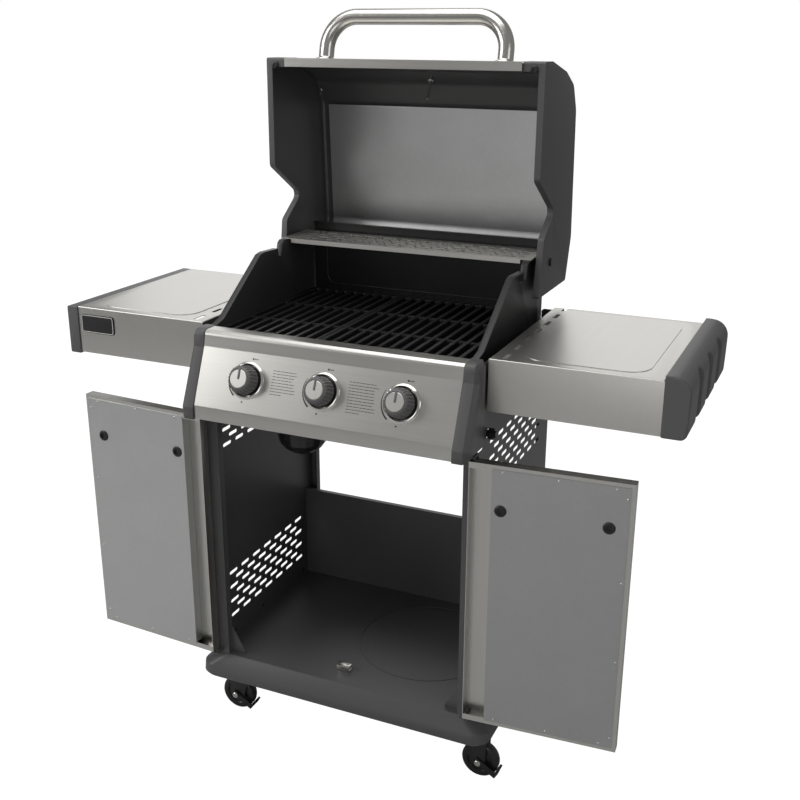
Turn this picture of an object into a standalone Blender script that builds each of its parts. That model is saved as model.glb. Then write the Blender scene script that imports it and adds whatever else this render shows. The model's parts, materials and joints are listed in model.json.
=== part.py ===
"""Gas barbecue grill on a cabinet cart, with its lid and both cabinet doors open.

Metres, +Z up. The front faces -Y and the left shelf is at -X. Outlines are
given in the grill's own frame, whose X = 0 plane halves the firebox; one
empty shifts that frame so that the bounding box is centred over the origin.
"""
import math

import bmesh
import bpy
from mathutils import Matrix, Vector

GAP = 0.0003            # clearance between pieces that touch
SHEET = 0.0015          # painted sheet steel of the cart and firebox
THIN = 0.0012           # stainless sheet of doors, shelves and fascia

# Firebox
FIREBOX_HALF = 0.2535   # inner face of a firebox side
FIREBOX_FRONT = -0.182
FIREBOX_REAR = 0.211
FIREBOX_BACK_TOP = 1.003
RIM_WIDTH = 0.0105      # flange along a firebox side's top edge
SHOULDER_TOP = 0.972    # highest point of the sides' sloping cheeks
GRATE_TOP = 0.860
GRATE_BAR = 0.0075      # width of a grate bar
GRATE_DEPTH = 0.012
GRATE_SPLIT = -0.045    # joint between the two grates
GRATE_PITCH = 0.0222
BOWL_BOTTOM = 0.722
RACK_TOP = 0.985
RACK_DEPTH = 0.108
BURNER_Z = 0.776
INLET_Y = -0.160        # gas inlet through the right side panel
INLET_Z = 0.728
BURNER_RADIUS = 0.0125
CUP_CENTRE = (-0.150, -0.050)
CUP_RADIUS = 0.050
CUP_TOP = 0.650
CUP_HEIGHT = 0.067
TRAY_FLOOR = 0.702
TRAY_HALF = 0.236

# Fascia and knobs
FASCIA_TOP = 0.867
FASCIA_BOTTOM = 0.7106
FASCIA_BEND = (-0.2245, 0.838)      # upper end of the sloping face (y, z)
FASCIA_FOOT = (-0.2680, 0.736)      # lower end of the sloping face (y, z)
KNOB_PITCH = 0.152
KNOB_DROP = 0.0515      # from the upper bend down the slope to a knob's axis
KNOB_RADIUS = 0.0265
STEM_RADIUS = 0.003

# Lid
PIVOT_Y = 0.165
PIVOT_Z = 0.968
LID_GAP = 0.027         # from the firebox side's inner face to the lid's outer face
LID_REACH = 0.3685      # pivot to the front rim
LID_DROP = 0.087        # pivot to the rim's plane
LID_RISE = 0.146        # pivot to the top of the closed lid
LID_TAIL = 0.059        # pivot to the rear edge of the closed lid
LID_WALL = 0.0025
LID_BAND = 0.041        # width of an end cap's band over the lid
BOLT_RADIUS = 0.004
HANDLE_HALF = 0.184
HANDLE_RISE = 0.0845
HANDLE_BEND = 0.060
HANDLE_RADIUS = 0.0150
HANDLE_FROM_RIM = 0.064
GAUGE_FROM_RIM = 0.160

# Cart
CART_GAP = 0.0245       # from the firebox side's inner face to a side panel's outer face
CART_TOP = 0.862
POST_WIDTH = 0.028
POST_TOP = 0.7067       # the front posts end under the fascia caps
BACK_PANEL_TOP = 0.388
BASE_BOTTOM = 0.125
BASE_TOP = 0.176
BASE_OVERHANG = 0.0355
BASE_WALL = 0.003
BOTTLE_RADIUS = 0.144
BOTTLE_CENTRE = (0.104, 0.009)
VENT_PITCH = 0.0455
VENT_ROW = 0.0162
VENT_LENGTH = 0.030
VENT_HEIGHT = 0.0075
VENT_ROWS = 7
VENT_BOTTOMS = (0.2285, 0.609)

# Casters
WHEEL_RADIUS = 0.0375
WHEEL_WIDTH = 0.021
CASTER_INSET = 0.0234
CASTER_Y = (-0.130, 0.150)
CASTER_TRAIL = 0.021
STEM_BORE = 0.0058
AXLE_RADIUS = 0.004

# Doors
DOOR_DEPTH = 0.020
DOOR_BOTTOM = 0.1905
DOOR_TOP = 0.700
DOOR_MEETING = 0.0015   # half the slit between the closed doors
DOOR_REVEAL = 0.003     # closed door's inner face to the front posts
HINGE_INSET = 0.0067    # hinge axis from the door's hinge edge
HINGE_BACK = 0.008      # hinge axis behind the closed door's outer face
DOOR_OPEN = math.radians(183.5)
PIN_RADIUS = 0.0025
DOOR_HANDLE_Z = 0.618
DOOR_HANDLE_FEET = (0.058, 0.242)   # from the hinge edge
DOOR_HANDLE_RADIUS = 0.008
DOOR_HANDLE_RISE = 0.030
LINER_INSET = 0.042     # bare strip beside the hinge

# Shelves
SHELF_TOP = 0.870
SHELF_HEIGHT = 0.093
SHELF_LENGTH = 0.292
SHELF_FRONT = -0.183
SHELF_REAR = 0.207
LEFT_CAP_WIDTH = 0.025
RIGHT_CAP_WIDTH = 0.044

# Worked out from the above
LID_HALF = FIREBOX_HALF + LID_GAP
CART_HALF = FIREBOX_HALF + CART_GAP
CART_FRONT = FIREBOX_FRONT - 0.0205
CART_REAR = FIREBOX_REAR + 0.006
BASE_HALF = CART_HALF + BASE_OVERHANG
CASTER_X = CART_HALF - CASTER_INSET
SHELF_INNER = LID_HALF + 0.0025
SHELF_OUTER = SHELF_INNER + SHELF_LENGTH
DOOR_EDGE = CART_HALF + 0.0045
DOOR_FACE = CART_FRONT - DOOR_REVEAL - DOOR_DEPTH
HINGE_X = DOOR_EDGE - HINGE_INSET
HINGE_Y = DOOR_FACE + HINGE_BACK
SLOPE = (Vector(FASCIA_FOOT) - Vector(FASCIA_BEND)).normalized()
OUTWARD = Vector((0, SLOPE.y, -SLOPE.x))
KNOB_TILT = math.atan2(-OUTWARD.y, OUTWARD.z)
KNOB_CENTRE = Vector((0, *(Vector(FASCIA_BEND) + SLOPE * KNOB_DROP)))

# Extents of the whole grill at rest
X_MIDDLE = (RIGHT_CAP_WIDTH - LEFT_CAP_WIDTH) / 2
Y_MIDDLE = (PIVOT_Y + LID_RISE + FASCIA_FOOT[0] - 0.0145) / 2

finishes = {}
holders = {}


# ---------------------------------------------------------------- materials
def finish(name, colour, roughness, metallic):
    """One Principled material, kept by name."""
    made = bpy.data.materials.new(name)
    made.use_nodes = True
    shader = made.node_tree.nodes["Principled BSDF"]
    shader.inputs["Base Color"].default_value = (*colour, 1.0)
    shader.inputs["Roughness"].default_value = roughness
    shader.inputs["Metallic"].default_value = metallic
    made.diffuse_color = (*colour, 1.0)
    finishes[name] = made


def make_finishes():
    finish("stainless", (0.55, 0.54, 0.52), 0.32, 1.0)
    finish("polished_tube", (0.72, 0.70, 0.67), 0.16, 1.0)
    finish("galvanised", (0.48, 0.49, 0.49), 0.45, 1.0)
    finish("grey_paint", (0.075, 0.074, 0.076), 0.55, 0.0)
    finish("grey_plastic", (0.110, 0.108, 0.112), 0.55, 0.0)
    finish("black_enamel", (0.010, 0.010, 0.011), 0.35, 0.0)
    finish("cast_iron", (0.018, 0.018, 0.018), 0.60, 0.0)
    finish("black_plastic", (0.012, 0.012, 0.012), 0.45, 0.0)
    finish("brass", (0.62, 0.45, 0.18), 0.35, 1.0)


# ----------------------------------------------------------------- outlines
def inset(outline, distance):
    """The closed outline moved inwards by a distance, with mitred corners."""
    count = len(outline)
    area = sum(outline[i][0] * outline[(i + 1) % count][1]
               - outline[(i + 1) % count][0] * outline[i][1] for i in range(count))
    side = distance if area > 0 else -distance
    return [mitre(outline[i - 1], outline[i], outline[(i + 1) % count], side)
            for i in range(count)]


def mitre(before, here, after, side):
    """A corner moved to the left of its path by a distance."""
    a = (Vector(here) - Vector(before)).normalized()
    b = (Vector(after) - Vector(here)).normalized()
    left = (Vector((-a.y, a.x)) + Vector((-b.y, b.x)))
    left = left / (1.0 + a.dot(b))
    return (here[0] + side * left.x, here[1] + side * left.y)


def ribbon(path, thickness):
    """A folded sheet: the path, and the path again at its left."""
    moved = []
    for i, point in enumerate(path):
        before = path[i - 1] if i else tuple(2 * Vector(point) - Vector(path[1]))
        after = path[i + 1] if i + 1 < len(path) else tuple(2 * Vector(point) - Vector(path[-2]))
        moved.append(mitre(before, point, after, thickness))
    return list(path) + moved[::-1]


def rounded(corners, steps=5):
    """Corners given as (u, v, radius); each radius becomes an arc."""
    points = []
    count = len(corners)
    for i, (u, v, radius) in enumerate(corners):
        here = Vector((u, v))
        if radius <= 0:
            points.append((u, v))
            continue
        back = (Vector(corners[i - 1][:2]) - here).normalized()
        ahead = (Vector(corners[(i + 1) % count][:2]) - here).normalized()
        half = back.angle(ahead) / 2
        middle = here + (back + ahead).normalized() * (radius / math.sin(half))
        start = here + back * (radius / math.tan(half)) - middle
        turn = start.angle_signed(here + ahead * (radius / math.tan(half)) - middle)
        for k in range(steps + 1):
            angle = -turn * k / steps
            points.append((middle.x + start.x * math.cos(angle) - start.y * math.sin(angle),
                           middle.y + start.x * math.sin(angle) + start.y * math.cos(angle)))
    return points


def rounded_box(x, y, radius, steps=5):
    """A rounded rectangle between x = (low, high) and y = (low, high)."""
    return rounded([(x[0], y[0], radius), (x[1], y[0], radius),
                    (x[1], y[1], radius), (x[0], y[1], radius)], steps)


# ------------------------------------------------------------------- shapes
def closed(shape):
    bmesh.ops.recalc_face_normals(shape, faces=shape.faces)
    return shape


def prism(outline, axis, low, high):
    """An outline pushed along an axis. X takes (y, z), Y takes (x, z), Z takes (x, y)."""
    place = {"X": lambda u, v, w: (w, u, v),
             "Y": lambda u, v, w: (u, w, v),
             "Z": lambda u, v, w: (u, v, w)}[axis]
    return loft([[place(u, v, w) for u, v in outline] for w in (low, high)])


def loft(rings):
    """Rings of equally many points, skinned one to the next and capped."""
    shape = bmesh.new()
    levels = [[shape.verts.new(point) for point in ring] for ring in rings]
    for lower, upper in zip(levels, levels[1:]):
        for i in range(len(lower)):
            shape.faces.new((lower[i - 1], lower[i], upper[i], upper[i - 1]))
    shape.faces.new(levels[0])
    shape.faces.new(levels[-1])
    return closed(shape)


def block(x, y, z):
    return prism([(x[0], y[0]), (x[1], y[0]), (x[1], y[1]), (x[0], y[1])], "Z", *z)


def turned(profile, sides=18, steady=False):
    """A solid turned about Z from (radius, height) points. A steady profile is a ring's section."""
    shape = bmesh.new()
    rings = []
    for radius, height in profile:
        if radius < 1e-7:
            rings.append([shape.verts.new((0, 0, height))] * sides)
        else:
            rings.append([shape.verts.new((radius * math.cos(math.tau * k / sides),
                                           radius * math.sin(math.tau * k / sides), height))
                          for k in range(sides)])
    pairs = list(zip(rings, rings[1:])) + ([(rings[-1], rings[0])] if steady else [])
    for lower, upper in pairs:
        for k in range(sides):
            corners = dict.fromkeys((lower[k - 1], lower[k], upper[k], upper[k - 1]))
            if len(corners) > 2:
                shape.faces.new(corners)
    return closed(shape)


def aimed(shape, start, direction):
    """The shape with its Z axis turned to a direction and its origin moved to a point."""
    turn = Vector((0, 0, 1)).rotation_difference(Vector(direction)).to_matrix().to_4x4()
    shape.transform(Matrix.Translation(start) @ turn)
    return shape


def rod(start, end, radius, sides=10):
    length = (Vector(end) - Vector(start)).length
    profile = [(0, 0), (radius, 0), (radius, length), (0, length)]
    return aimed(turned(profile, sides), start, Vector(end) - Vector(start))


def tube(path, radius, sides=8):
    """A round bar along a path that stays in one plane."""
    points = [Vector(point) for point in path]
    normal = Vector((0, 0, 0))
    for i in range(1, len(points) - 1):
        normal += (points[i] - points[i - 1]).cross(points[i + 1] - points[i])
    normal.normalize()
    rings = []
    for i, point in enumerate(points):
        ahead = (points[min(i + 1, len(points) - 1)] - points[i]).normalized()
        behind = (points[i] - points[max(i - 1, 0)]).normalized()
        along = (ahead + behind).normalized()
        spread = along.cross(normal)
        rings.append([point + radius * (math.cos(math.tau * k / sides) * spread
                                        + math.sin(math.tau * k / sides) * normal)
                      for k in range(sides)])
    return loft(rings)


def together(*shapes):
    """Several shapes in one mesh."""
    whole = bmesh.new()
    for shape in shapes:
        mesh = bpy.data.meshes.new("passing")
        shape.to_mesh(mesh)
        shape.free()
        whole.from_mesh(mesh)
        bpy.data.meshes.remove(mesh)
    return whole


# ------------------------------------------------------------------ objects
def holder(name, place=(0, 0, 0), turn=(0, 0, 0), parent=None):
    """An empty on a joint's axis. Pieces made in the grill's frame hang on it."""
    empty = bpy.data.objects.new(name, None)
    bpy.context.collection.objects.link(empty)
    empty.location = place
    empty.rotation_euler = turn
    empty.empty_display_size = 0.03
    empty.parent = parent or holders.get("grill")
    holders[name] = empty
    return empty


def hang(thing, shape, on, local):
    """Gives an object its mesh and its parent."""
    parent = holders[on]
    if not local:
        shape.transform(Matrix.Translation(-Vector(parent.location) if on != "grill" else (0, 0, 0)))
    shape.to_mesh(thing.data)
    shape.free()
    thing.parent = parent


def piece(name, shape, material, on="grill", local=False):
    mesh = bpy.data.meshes.new(name)
    made = bpy.data.objects.new(name, mesh)
    bpy.context.collection.objects.link(made)
    hang(made, shape, on, local)
    mesh.materials.append(finishes[material])
    mesh.shade_smooth()
    mesh.set_sharp_from_angle(angle=math.radians(35))
    made["holder"] = on
    return made


def change(made, shape, operation, local=False):
    """A live Boolean with a hidden helper object."""
    number = len(made.modifiers) + 1
    mesh = bpy.data.meshes.new(f"{made.name}.tool{number}")
    helper = bpy.data.objects.new(mesh.name, mesh)
    bpy.context.collection.objects.link(helper)
    hang(helper, shape, made["holder"], local)
    helper.hide_render = True
    helper.display_type = "WIRE"
    boolean = made.modifiers.new(f"{operation.lower()}{number}", "BOOLEAN")
    boolean.operation = operation
    boolean.solver = "EXACT"
    boolean.object = helper


def cut(made, *shapes, local=False):
    change(made, together(*shapes), "DIFFERENCE", local)


def weld(made, *shapes, local=False):
    change(made, together(*shapes), "UNION", local)


def both(side, low, high):
    """An X range given for the right side, for side = 1 or -1."""
    return (side * low, side * high) if side > 0 else (side * high, side * low)


# ---------------------------------------------------------------- the cart
def base_ring(z, shrink):
    """One level of the base: shrink at the sides, half as much at front and rear."""
    half = BASE_HALF - shrink
    front = CART_FRONT - 0.0175 + shrink * 0.52
    rear = CART_REAR + 0.0185 - shrink * 0.52
    return [(x, y, z) for x, y in rounded_box((-half, half), (front, rear), 0.030)]


def base_tray():
    levels = [(BASE_BOTTOM, 0.005), (BASE_BOTTOM + 0.005, 0.0), (BASE_BOTTOM + 0.025, 0.0015),
              (BASE_TOP - 0.004, 0.0305), (BASE_TOP, 0.034)]
    tray = piece("base_tray", loft([base_ring(z, shrink) for z, shrink in levels]), "grey_paint")
    cut(tray, loft([base_ring(BASE_BOTTOM - 0.001, 0.005 + BASE_WALL),
                    base_ring(BASE_BOTTOM + 0.025, 0.0015 + BASE_WALL),
                    base_ring(BASE_TOP - BASE_WALL, 0.034 + BASE_WALL)]))
    places = [(x, y) for x in (-CASTER_X, CASTER_X) for y in CASTER_Y]
    weld(tray, *[rod((x, y, BASE_BOTTOM - 0.011), (x, y, BASE_TOP - 0.001), 0.014) for x, y in places])
    cut(tray, *[rod((x, y, BASE_BOTTOM - 0.012), (x, y, BASE_BOTTOM + 0.025), STEM_BORE) for x, y in places])
    ring = [(BOTTLE_RADIUS - 0.0015, -0.001), (BOTTLE_RADIUS + 0.0015, -0.001),
            (BOTTLE_RADIUS + 0.0015, 0.001), (BOTTLE_RADIUS - 0.0015, 0.001)]
    weld(tray, aimed(turned(ring, 32, steady=True), (*BOTTLE_CENTRE, BASE_TOP), (0, 0, 1)))


def door_catch():
    """A bent steel catch that both doors pull up to."""
    x, y, z = -0.009, CART_FRONT + 0.0445, BASE_TOP + GAP
    profile = ribbon([(y + 0.012, z), (y - 0.006, z), (y - 0.006, z + 0.012), (y + 0.010, z + 0.012)], -0.002)
    piece("door_catch", prism(profile, "X", x - 0.0135, x + 0.0135), "stainless")


def side_panel(side):
    """A folded panel with posts, two groups of vents, a gusset and two hinge tabs with pins."""
    name = "left_side_panel" if side < 0 else "right_side_panel"
    foot = BASE_TOP + GAP
    wall = both(side, CART_HALF - SHEET, CART_HALF)
    profile = [(CART_FRONT, foot), (CART_FRONT, POST_TOP), (FIREBOX_FRONT - 0.0005, POST_TOP),
               (FIREBOX_FRONT - 0.0005, CART_TOP), (CART_REAR, CART_TOP), (CART_REAR, foot)]
    panel = piece(name, prism(profile, "X", *wall), "grey_paint")
    outer, post, lip = CART_HALF, CART_HALF - POST_WIDTH, 0.015
    front = ribbon([(side * outer, CART_FRONT), (side * post, CART_FRONT), (side * post, CART_FRONT + lip)],
                   side * -SHEET)
    rear = ribbon([(side * (outer - 0.020), CART_REAR - lip), (side * (outer - 0.020), CART_REAR),
                   (side * outer, CART_REAR)], side * -SHEET)
    weld(panel, prism(front, "Z", foot, POST_TOP), prism(rear, "Z", foot, CART_TOP))
    gusset = [(side * (post + 0.0005), foot), (side * (post - 0.030), foot),
              (side * (post - 0.030), foot + 0.006), (side * (post + 0.0005), foot + 0.060)]
    weld(panel, prism(gusset, "Y", CART_FRONT + lip - SHEET, CART_FRONT + lip))
    tab_x = both(side, CART_HALF - 0.016, CART_HALF - 0.0005)
    tab_y = (HINGE_Y - 0.0075, CART_FRONT + 0.001)
    low = (DOOR_BOTTOM - 0.0070, DOOR_BOTTOM - 0.0040)
    high = (POST_TOP - 0.003, POST_TOP)
    weld(panel, block(tab_x, tab_y, low), block(tab_x, tab_y, high))
    pin_low = rod((side * HINGE_X, HINGE_Y, low[1] - 0.001), (side * HINGE_X, HINGE_Y, DOOR_BOTTOM + 0.010),
                  PIN_RADIUS)
    pin_high = rod((side * HINGE_X, HINGE_Y, DOOR_TOP - 0.010), (side * HINGE_X, HINGE_Y, high[0] + 0.001),
                   PIN_RADIUS)
    weld(panel, pin_low, pin_high)
    through = both(side, CART_HALF - 0.006, CART_HALF + 0.004)
    middle = (CART_FRONT + CART_REAR) / 2 - 0.002
    vents = []
    for bottom in VENT_BOTTOMS:
        for row in range(VENT_ROWS):
            count = 7 if row % 2 == 0 else 6
            for k in range(count):
                y = middle + VENT_PITCH * (k - (count - 1) / 2)
                z = bottom + VENT_ROW * row
                vents.append(block(through, (y - VENT_LENGTH / 2, y + VENT_LENGTH / 2),
                                   (z - VENT_HEIGHT / 2, z + VENT_HEIGHT / 2)))
    cut(panel, *vents)
    if side > 0:
        cut(panel, rod((through[0], INLET_Y, INLET_Z), (through[1], INLET_Y, INLET_Z), 0.0085))


def back_panel():
    """The low panel across the back of the cabinet, hemmed along its top."""
    y = CART_REAR - 0.037
    foot = BASE_TOP + GAP
    profile = ribbon([(y + 0.012, foot), (y, foot), (y, BACK_PANEL_TOP), (y + 0.010, BACK_PANEL_TOP),
                      (y + 0.010, BACK_PANEL_TOP - 0.008)], -SHEET)
    inner = CART_HALF - SHEET - GAP
    piece("back_panel", prism(profile, "X", -inner, inner), "grey_paint")


def caster(name, x, y, trail, braked):
    """A hooded fork that swivels in the base, its axle, and a wheel that turns on it."""
    swivel = holder(f"{name}_swivel", (x, y, 0))
    half = WHEEL_WIDTH / 2
    cheek = half + 0.0040
    crown = BASE_BOTTOM - 0.011 - GAP
    hood = rounded([(trail - 0.013, WHEEL_RADIUS - 0.013, 0.010), (trail + 0.013, WHEEL_RADIUS - 0.013, 0.010),
                    (max(trail + 0.016, 0.024), crown, 0), (min(trail - 0.016, -0.024), crown, 0)], 2)
    fork = piece(f"{name}_caster_fork", prism(hood, "Y", -cheek, cheek), "black_plastic", swivel.name, True)
    room = half + 0.0012
    cut(fork, rod((trail, -room, WHEEL_RADIUS), (trail, room, WHEEL_RADIUS), WHEEL_RADIUS + 0.003, 16),
        local=True)
    axle = cheek + (0.0055 if braked else 0.0020)
    weld(fork, rod((0, 0, crown - 0.004), (0, 0, BASE_BOTTOM + 0.022), STEM_BORE - GAP, 8),
         rod((trail, -axle, WHEEL_RADIUS), (trail, axle, WHEEL_RADIUS), AXLE_RADIUS, 8), local=True)
    bore = AXLE_RADIUS + GAP
    edge = 0.003
    tread = [(bore, -half), (WHEEL_RADIUS - edge, -half), (WHEEL_RADIUS, -half + edge),
             (WHEEL_RADIUS, half - edge), (WHEEL_RADIUS - edge, half), (bore, half)]
    hub = holder(f"{name}_axle", (trail, 0, WHEEL_RADIUS), (math.radians(90), 0, 0), swivel)
    piece(f"{name}_caster_wheel", turned(tread, 20, steady=True), "black_plastic", hub.name, True)
    if braked:
        brake_lever(name, trail, swivel, cheek)


def brake_lever(name, trail, swivel, cheek):
    """An arm on the axle whose tab reaches across the tread."""
    pivot = holder(f"{name}_brake", (trail, 0, WHEEL_RADIUS), (0, 0, 0), swivel)
    near = cheek + GAP
    angle = math.radians(-31)
    along = Vector((math.cos(angle), math.sin(angle)))
    across = Vector((-along.y, along.x))

    def plank(low, high, width):
        return [tuple(along * low - across * width), tuple(along * high - across * width),
                tuple(along * high + across * width), tuple(along * low + across * width)]

    tip = WHEEL_RADIUS + 0.0055
    arm = piece(f"{name}_brake_lever", prism(plank(-0.008, tip, 0.006), "Y", -near - 0.0030, -near),
                "black_plastic", pivot.name, True)
    weld(arm, prism(plank(tip - 0.004, tip + 0.0004, 0.0066), "Y", -near - 0.0015, cheek), local=True)
    cut(arm, rod((0, -near - 0.01, 0), (0, -near + 0.001, 0), AXLE_RADIUS + GAP), local=True)


def casters():
    for side, hand in ((-1, "left"), (1, "right")):
        for row, end in enumerate(("front", "rear")):
            caster(f"{end}_{hand}", side * CASTER_X, CASTER_Y[row], side * CASTER_TRAIL, row == 0)


def door(side):
    """A folded stainless skin, a galvanised liner over three of its lips, and a bar handle."""
    hand = "left" if side < 0 else "right"
    on = f"{hand}_door_hinge"
    holder(on, (side * HINGE_X, HINGE_Y, 0), (0, 0, side * DOOR_OPEN))
    face, back = DOOR_FACE, DOOR_FACE + DOOR_DEPTH
    width = both(side, DOOR_MEETING, DOOR_EDGE)
    skin = piece(f"{hand}_door_skin", block(width, (face, back), (DOOR_BOTTOM, DOOR_TOP)), "stainless", on)
    cut(skin, block(both(side, DOOR_MEETING + THIN, DOOR_EDGE - THIN), (face + THIN, back - THIN),
                    (DOOR_BOTTOM + THIN, DOOR_TOP - THIN)))
    lip = 0.011
    cut(skin, block(both(side, DOOR_MEETING + lip, DOOR_EDGE - THIN), (back - 2 * THIN, back + 0.001),
                    (DOOR_BOTTOM + lip, DOOR_TOP - lip)))
    cut(skin, rod((side * HINGE_X, HINGE_Y, DOOR_BOTTOM - 0.001), (side * HINGE_X, HINGE_Y, DOOR_BOTTOM + 0.003),
                  PIN_RADIUS + GAP),
        rod((side * HINGE_X, HINGE_Y, DOOR_TOP - 0.003), (side * HINGE_X, HINGE_Y, DOOR_TOP + 0.001),
            PIN_RADIUS + GAP))
    level = back + GAP
    near, far = DOOR_EDGE - LINER_INSET, DOOR_MEETING + 0.007
    profile = ribbon([(side * near, face + THIN + GAP), (side * near, level), (side * far, level)], -side * 0.0008)
    liner = piece(f"{hand}_door_liner", prism(profile, "Z", DOOR_BOTTOM + lip + 0.0008, DOOR_TOP - lip - 0.0008),
                  "galvanised", on)
    plate = ribbon([(side * (near - 0.0005), level), (side * far, level)], -side * 0.0008)
    weld(liner, prism(plate, "Z", DOOR_BOTTOM + 0.007, DOOR_TOP - 0.007))
    feet = [side * (DOOR_EDGE - foot) for foot in DOOR_HANDLE_FEET]
    cut(liner, *[rod((x, level - 0.002, DOOR_HANDLE_Z), (x, level + 0.003, DOOR_HANDLE_Z), 0.011, 14)
                 for x in feet])
    route = [(feet[0], face - GAP), (feet[0], face - DOOR_HANDLE_RISE), (feet[1], face - DOOR_HANDLE_RISE),
             (feet[1], face - GAP)]
    bends = rounded([(*route[0], 0), (*route[1], 0.016), (*route[2], 0.016), (*route[3], 0)], 3)
    bar = tube([(x, y, DOOR_HANDLE_Z) for x, y in bends], DOOR_HANDLE_RADIUS)
    handle = piece(f"{hand}_door_handle", bar, "polished_tube", on)
    weld(handle, *[rod((x, face - GAP, DOOR_HANDLE_Z), (x, face - 0.004, DOOR_HANDLE_Z), 0.0125, 12) for x in feet])


# ------------------------------------------------------------- the firebox
def side_outline():
    """A firebox side from its front foot over the cheek, the spit slot and the rack seat."""
    front, rear = FIREBOX_FRONT, FIREBOX_REAR
    seat = RACK_TOP - SHEET - GAP
    return [(front, BOWL_BOTTOM + 0.030), (front, FASCIA_TOP), (front + 0.025, FASCIA_TOP + 0.006),
            (PIVOT_Y - 0.182, SHOULDER_TOP - 0.003), (PIVOT_Y - 0.166, SHOULDER_TOP),
            (PIVOT_Y - 0.113, SHOULDER_TOP - 0.002), (PIVOT_Y - 0.1105, SHOULDER_TOP - 0.018),
            (PIVOT_Y - 0.1020, SHOULDER_TOP - 0.018), (PIVOT_Y - 0.0950, SHOULDER_TOP + 0.006),
            (PIVOT_Y - 0.0870, seat), (rear, seat), (rear, BOWL_BOTTOM + 0.030),
            (rear - 0.106, BOWL_BOTTOM - 0.006), (front + 0.107, BOWL_BOTTOM - 0.006)]


def firebox_side(side):
    """A stamped side plate whose cheek carries an outward rim, with a boss for the lid's bolt."""
    outline = side_outline()
    outer = FIREBOX_HALF + SHEET
    name = "left_firebox_side" if side < 0 else "right_firebox_side"
    plate = piece(name, prism(outline, "X", *both(side, FIREBOX_HALF, outer)), "black_enamel")
    rim = ribbon(outline[1:11], -0.0025)
    weld(plate, prism(rim, "X", *both(side, outer - 0.0005, outer + RIM_WIDTH)))
    support = [(FIREBOX_FRONT + 0.030, 0.7600), (FIREBOX_REAR - 0.010, 0.7600),
               (FIREBOX_REAR - 0.010, 0.7615), (FIREBOX_FRONT + 0.030, 0.7615)]
    boss = LID_HALF - LID_WALL - 0.0008
    weld(plate, prism(support, "X", *both(side, outer - 0.0005, CART_HALF - SHEET - GAP)),
         rod((side * (outer - 0.0005), PIVOT_Y, PIVOT_Z), (side * boss, PIVOT_Y, PIVOT_Z), 0.009))
    cut(plate, rod((side * (boss + 0.001), PIVOT_Y, PIVOT_Z), (side * (boss - 0.017), PIVOT_Y, PIVOT_Z),
                   BOLT_RADIUS + GAP))


def firebox_bowl():
    """Front and rear walls, a floor that falls to a slot, grate ledges and tray rails in one sheet box."""
    half = FIREBOX_HALF - GAP
    front, rear = FIREBOX_FRONT + 0.002, FIREBOX_REAR - 0.002
    path = [(front, GRATE_TOP + 0.002), (front, BOWL_BOTTOM + 0.038), (front + 0.105, BOWL_BOTTOM),
            (rear - 0.104, BOWL_BOTTOM), (rear, BOWL_BOTTOM + 0.038), (rear, FIREBOX_BACK_TOP),
            (rear - 0.008, FIREBOX_BACK_TOP)]
    bowl = piece("firebox_bowl", prism(ribbon(path, SHEET), "X", -half, half), "black_enamel")
    ledge = GRATE_TOP - GRATE_DEPTH - GAP
    baffle = ledge - 0.036
    shelves = [block((-half, half), (front + SHEET - 0.0005, front + 0.0120), (z - SHEET, z))
               for z in (ledge, baffle)]
    shelves += [block((-half, half), (rear - 0.0120, rear - SHEET + 0.0005), (z - SHEET, z))
                for z in (ledge, baffle)]
    weld(bowl, *shelves)
    cut(bowl, block((-0.200, 0.200), (front + 0.115, rear - 0.114), (BOWL_BOTTOM - 0.01, BOWL_BOTTOM + 0.01)),
        *[rod((x, front - 0.005, BURNER_Z), (x, front + 0.006, BURNER_Z), BURNER_RADIUS + 0.001)
          for x in knob_places()])
    rails = []
    for side in (-1, 1):
        profile = ribbon([(side * (TRAY_HALF + 0.010), BOWL_BOTTOM + 0.0005),
                          (side * (TRAY_HALF + 0.010), TRAY_FLOOR + 0.0045),
                          (side * (TRAY_HALF - 0.002), TRAY_FLOOR + 0.0045)], side * SHEET)
        rails.append(prism(profile, "Y", front + 0.108, rear - 0.107))
    weld(bowl, *rails)


def knob_places():
    return [-KNOB_PITCH, 0.0, KNOB_PITCH]


def burners():
    front, rear = FIREBOX_FRONT - 0.008, FIREBOX_REAR - 0.020
    length = rear - front
    wall = 0.0015
    profile = [(BURNER_RADIUS - wall, 0), (BURNER_RADIUS, 0), (BURNER_RADIUS, length), (0, length),
               (0, length - wall), (BURNER_RADIUS - wall, length - wall)]
    for name, x in zip(("left", "centre", "right"), knob_places()):
        shape = aimed(turned(profile, 16, steady=True), (x, front, BURNER_Z), (0, 1, 0))
        piece(f"{name}_burner", shape, "stainless")


def flame_tamers():
    """Three roof-shaped plates that lie on the lower ledges above the burners."""
    rest = GRATE_TOP - GRATE_DEPTH - 0.036
    half, rise = 0.050, 0.018
    for name, x in zip(("left", "centre", "right"), knob_places()):
        profile = ribbon([(x + half, rest), (x, rest + rise), (x - half, rest)], -SHEET)
        piece(f"{name}_flame_tamer",
              prism(profile, "Y", FIREBOX_FRONT + 0.006, FIREBOX_REAR - 0.006), "black_enamel")


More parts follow.
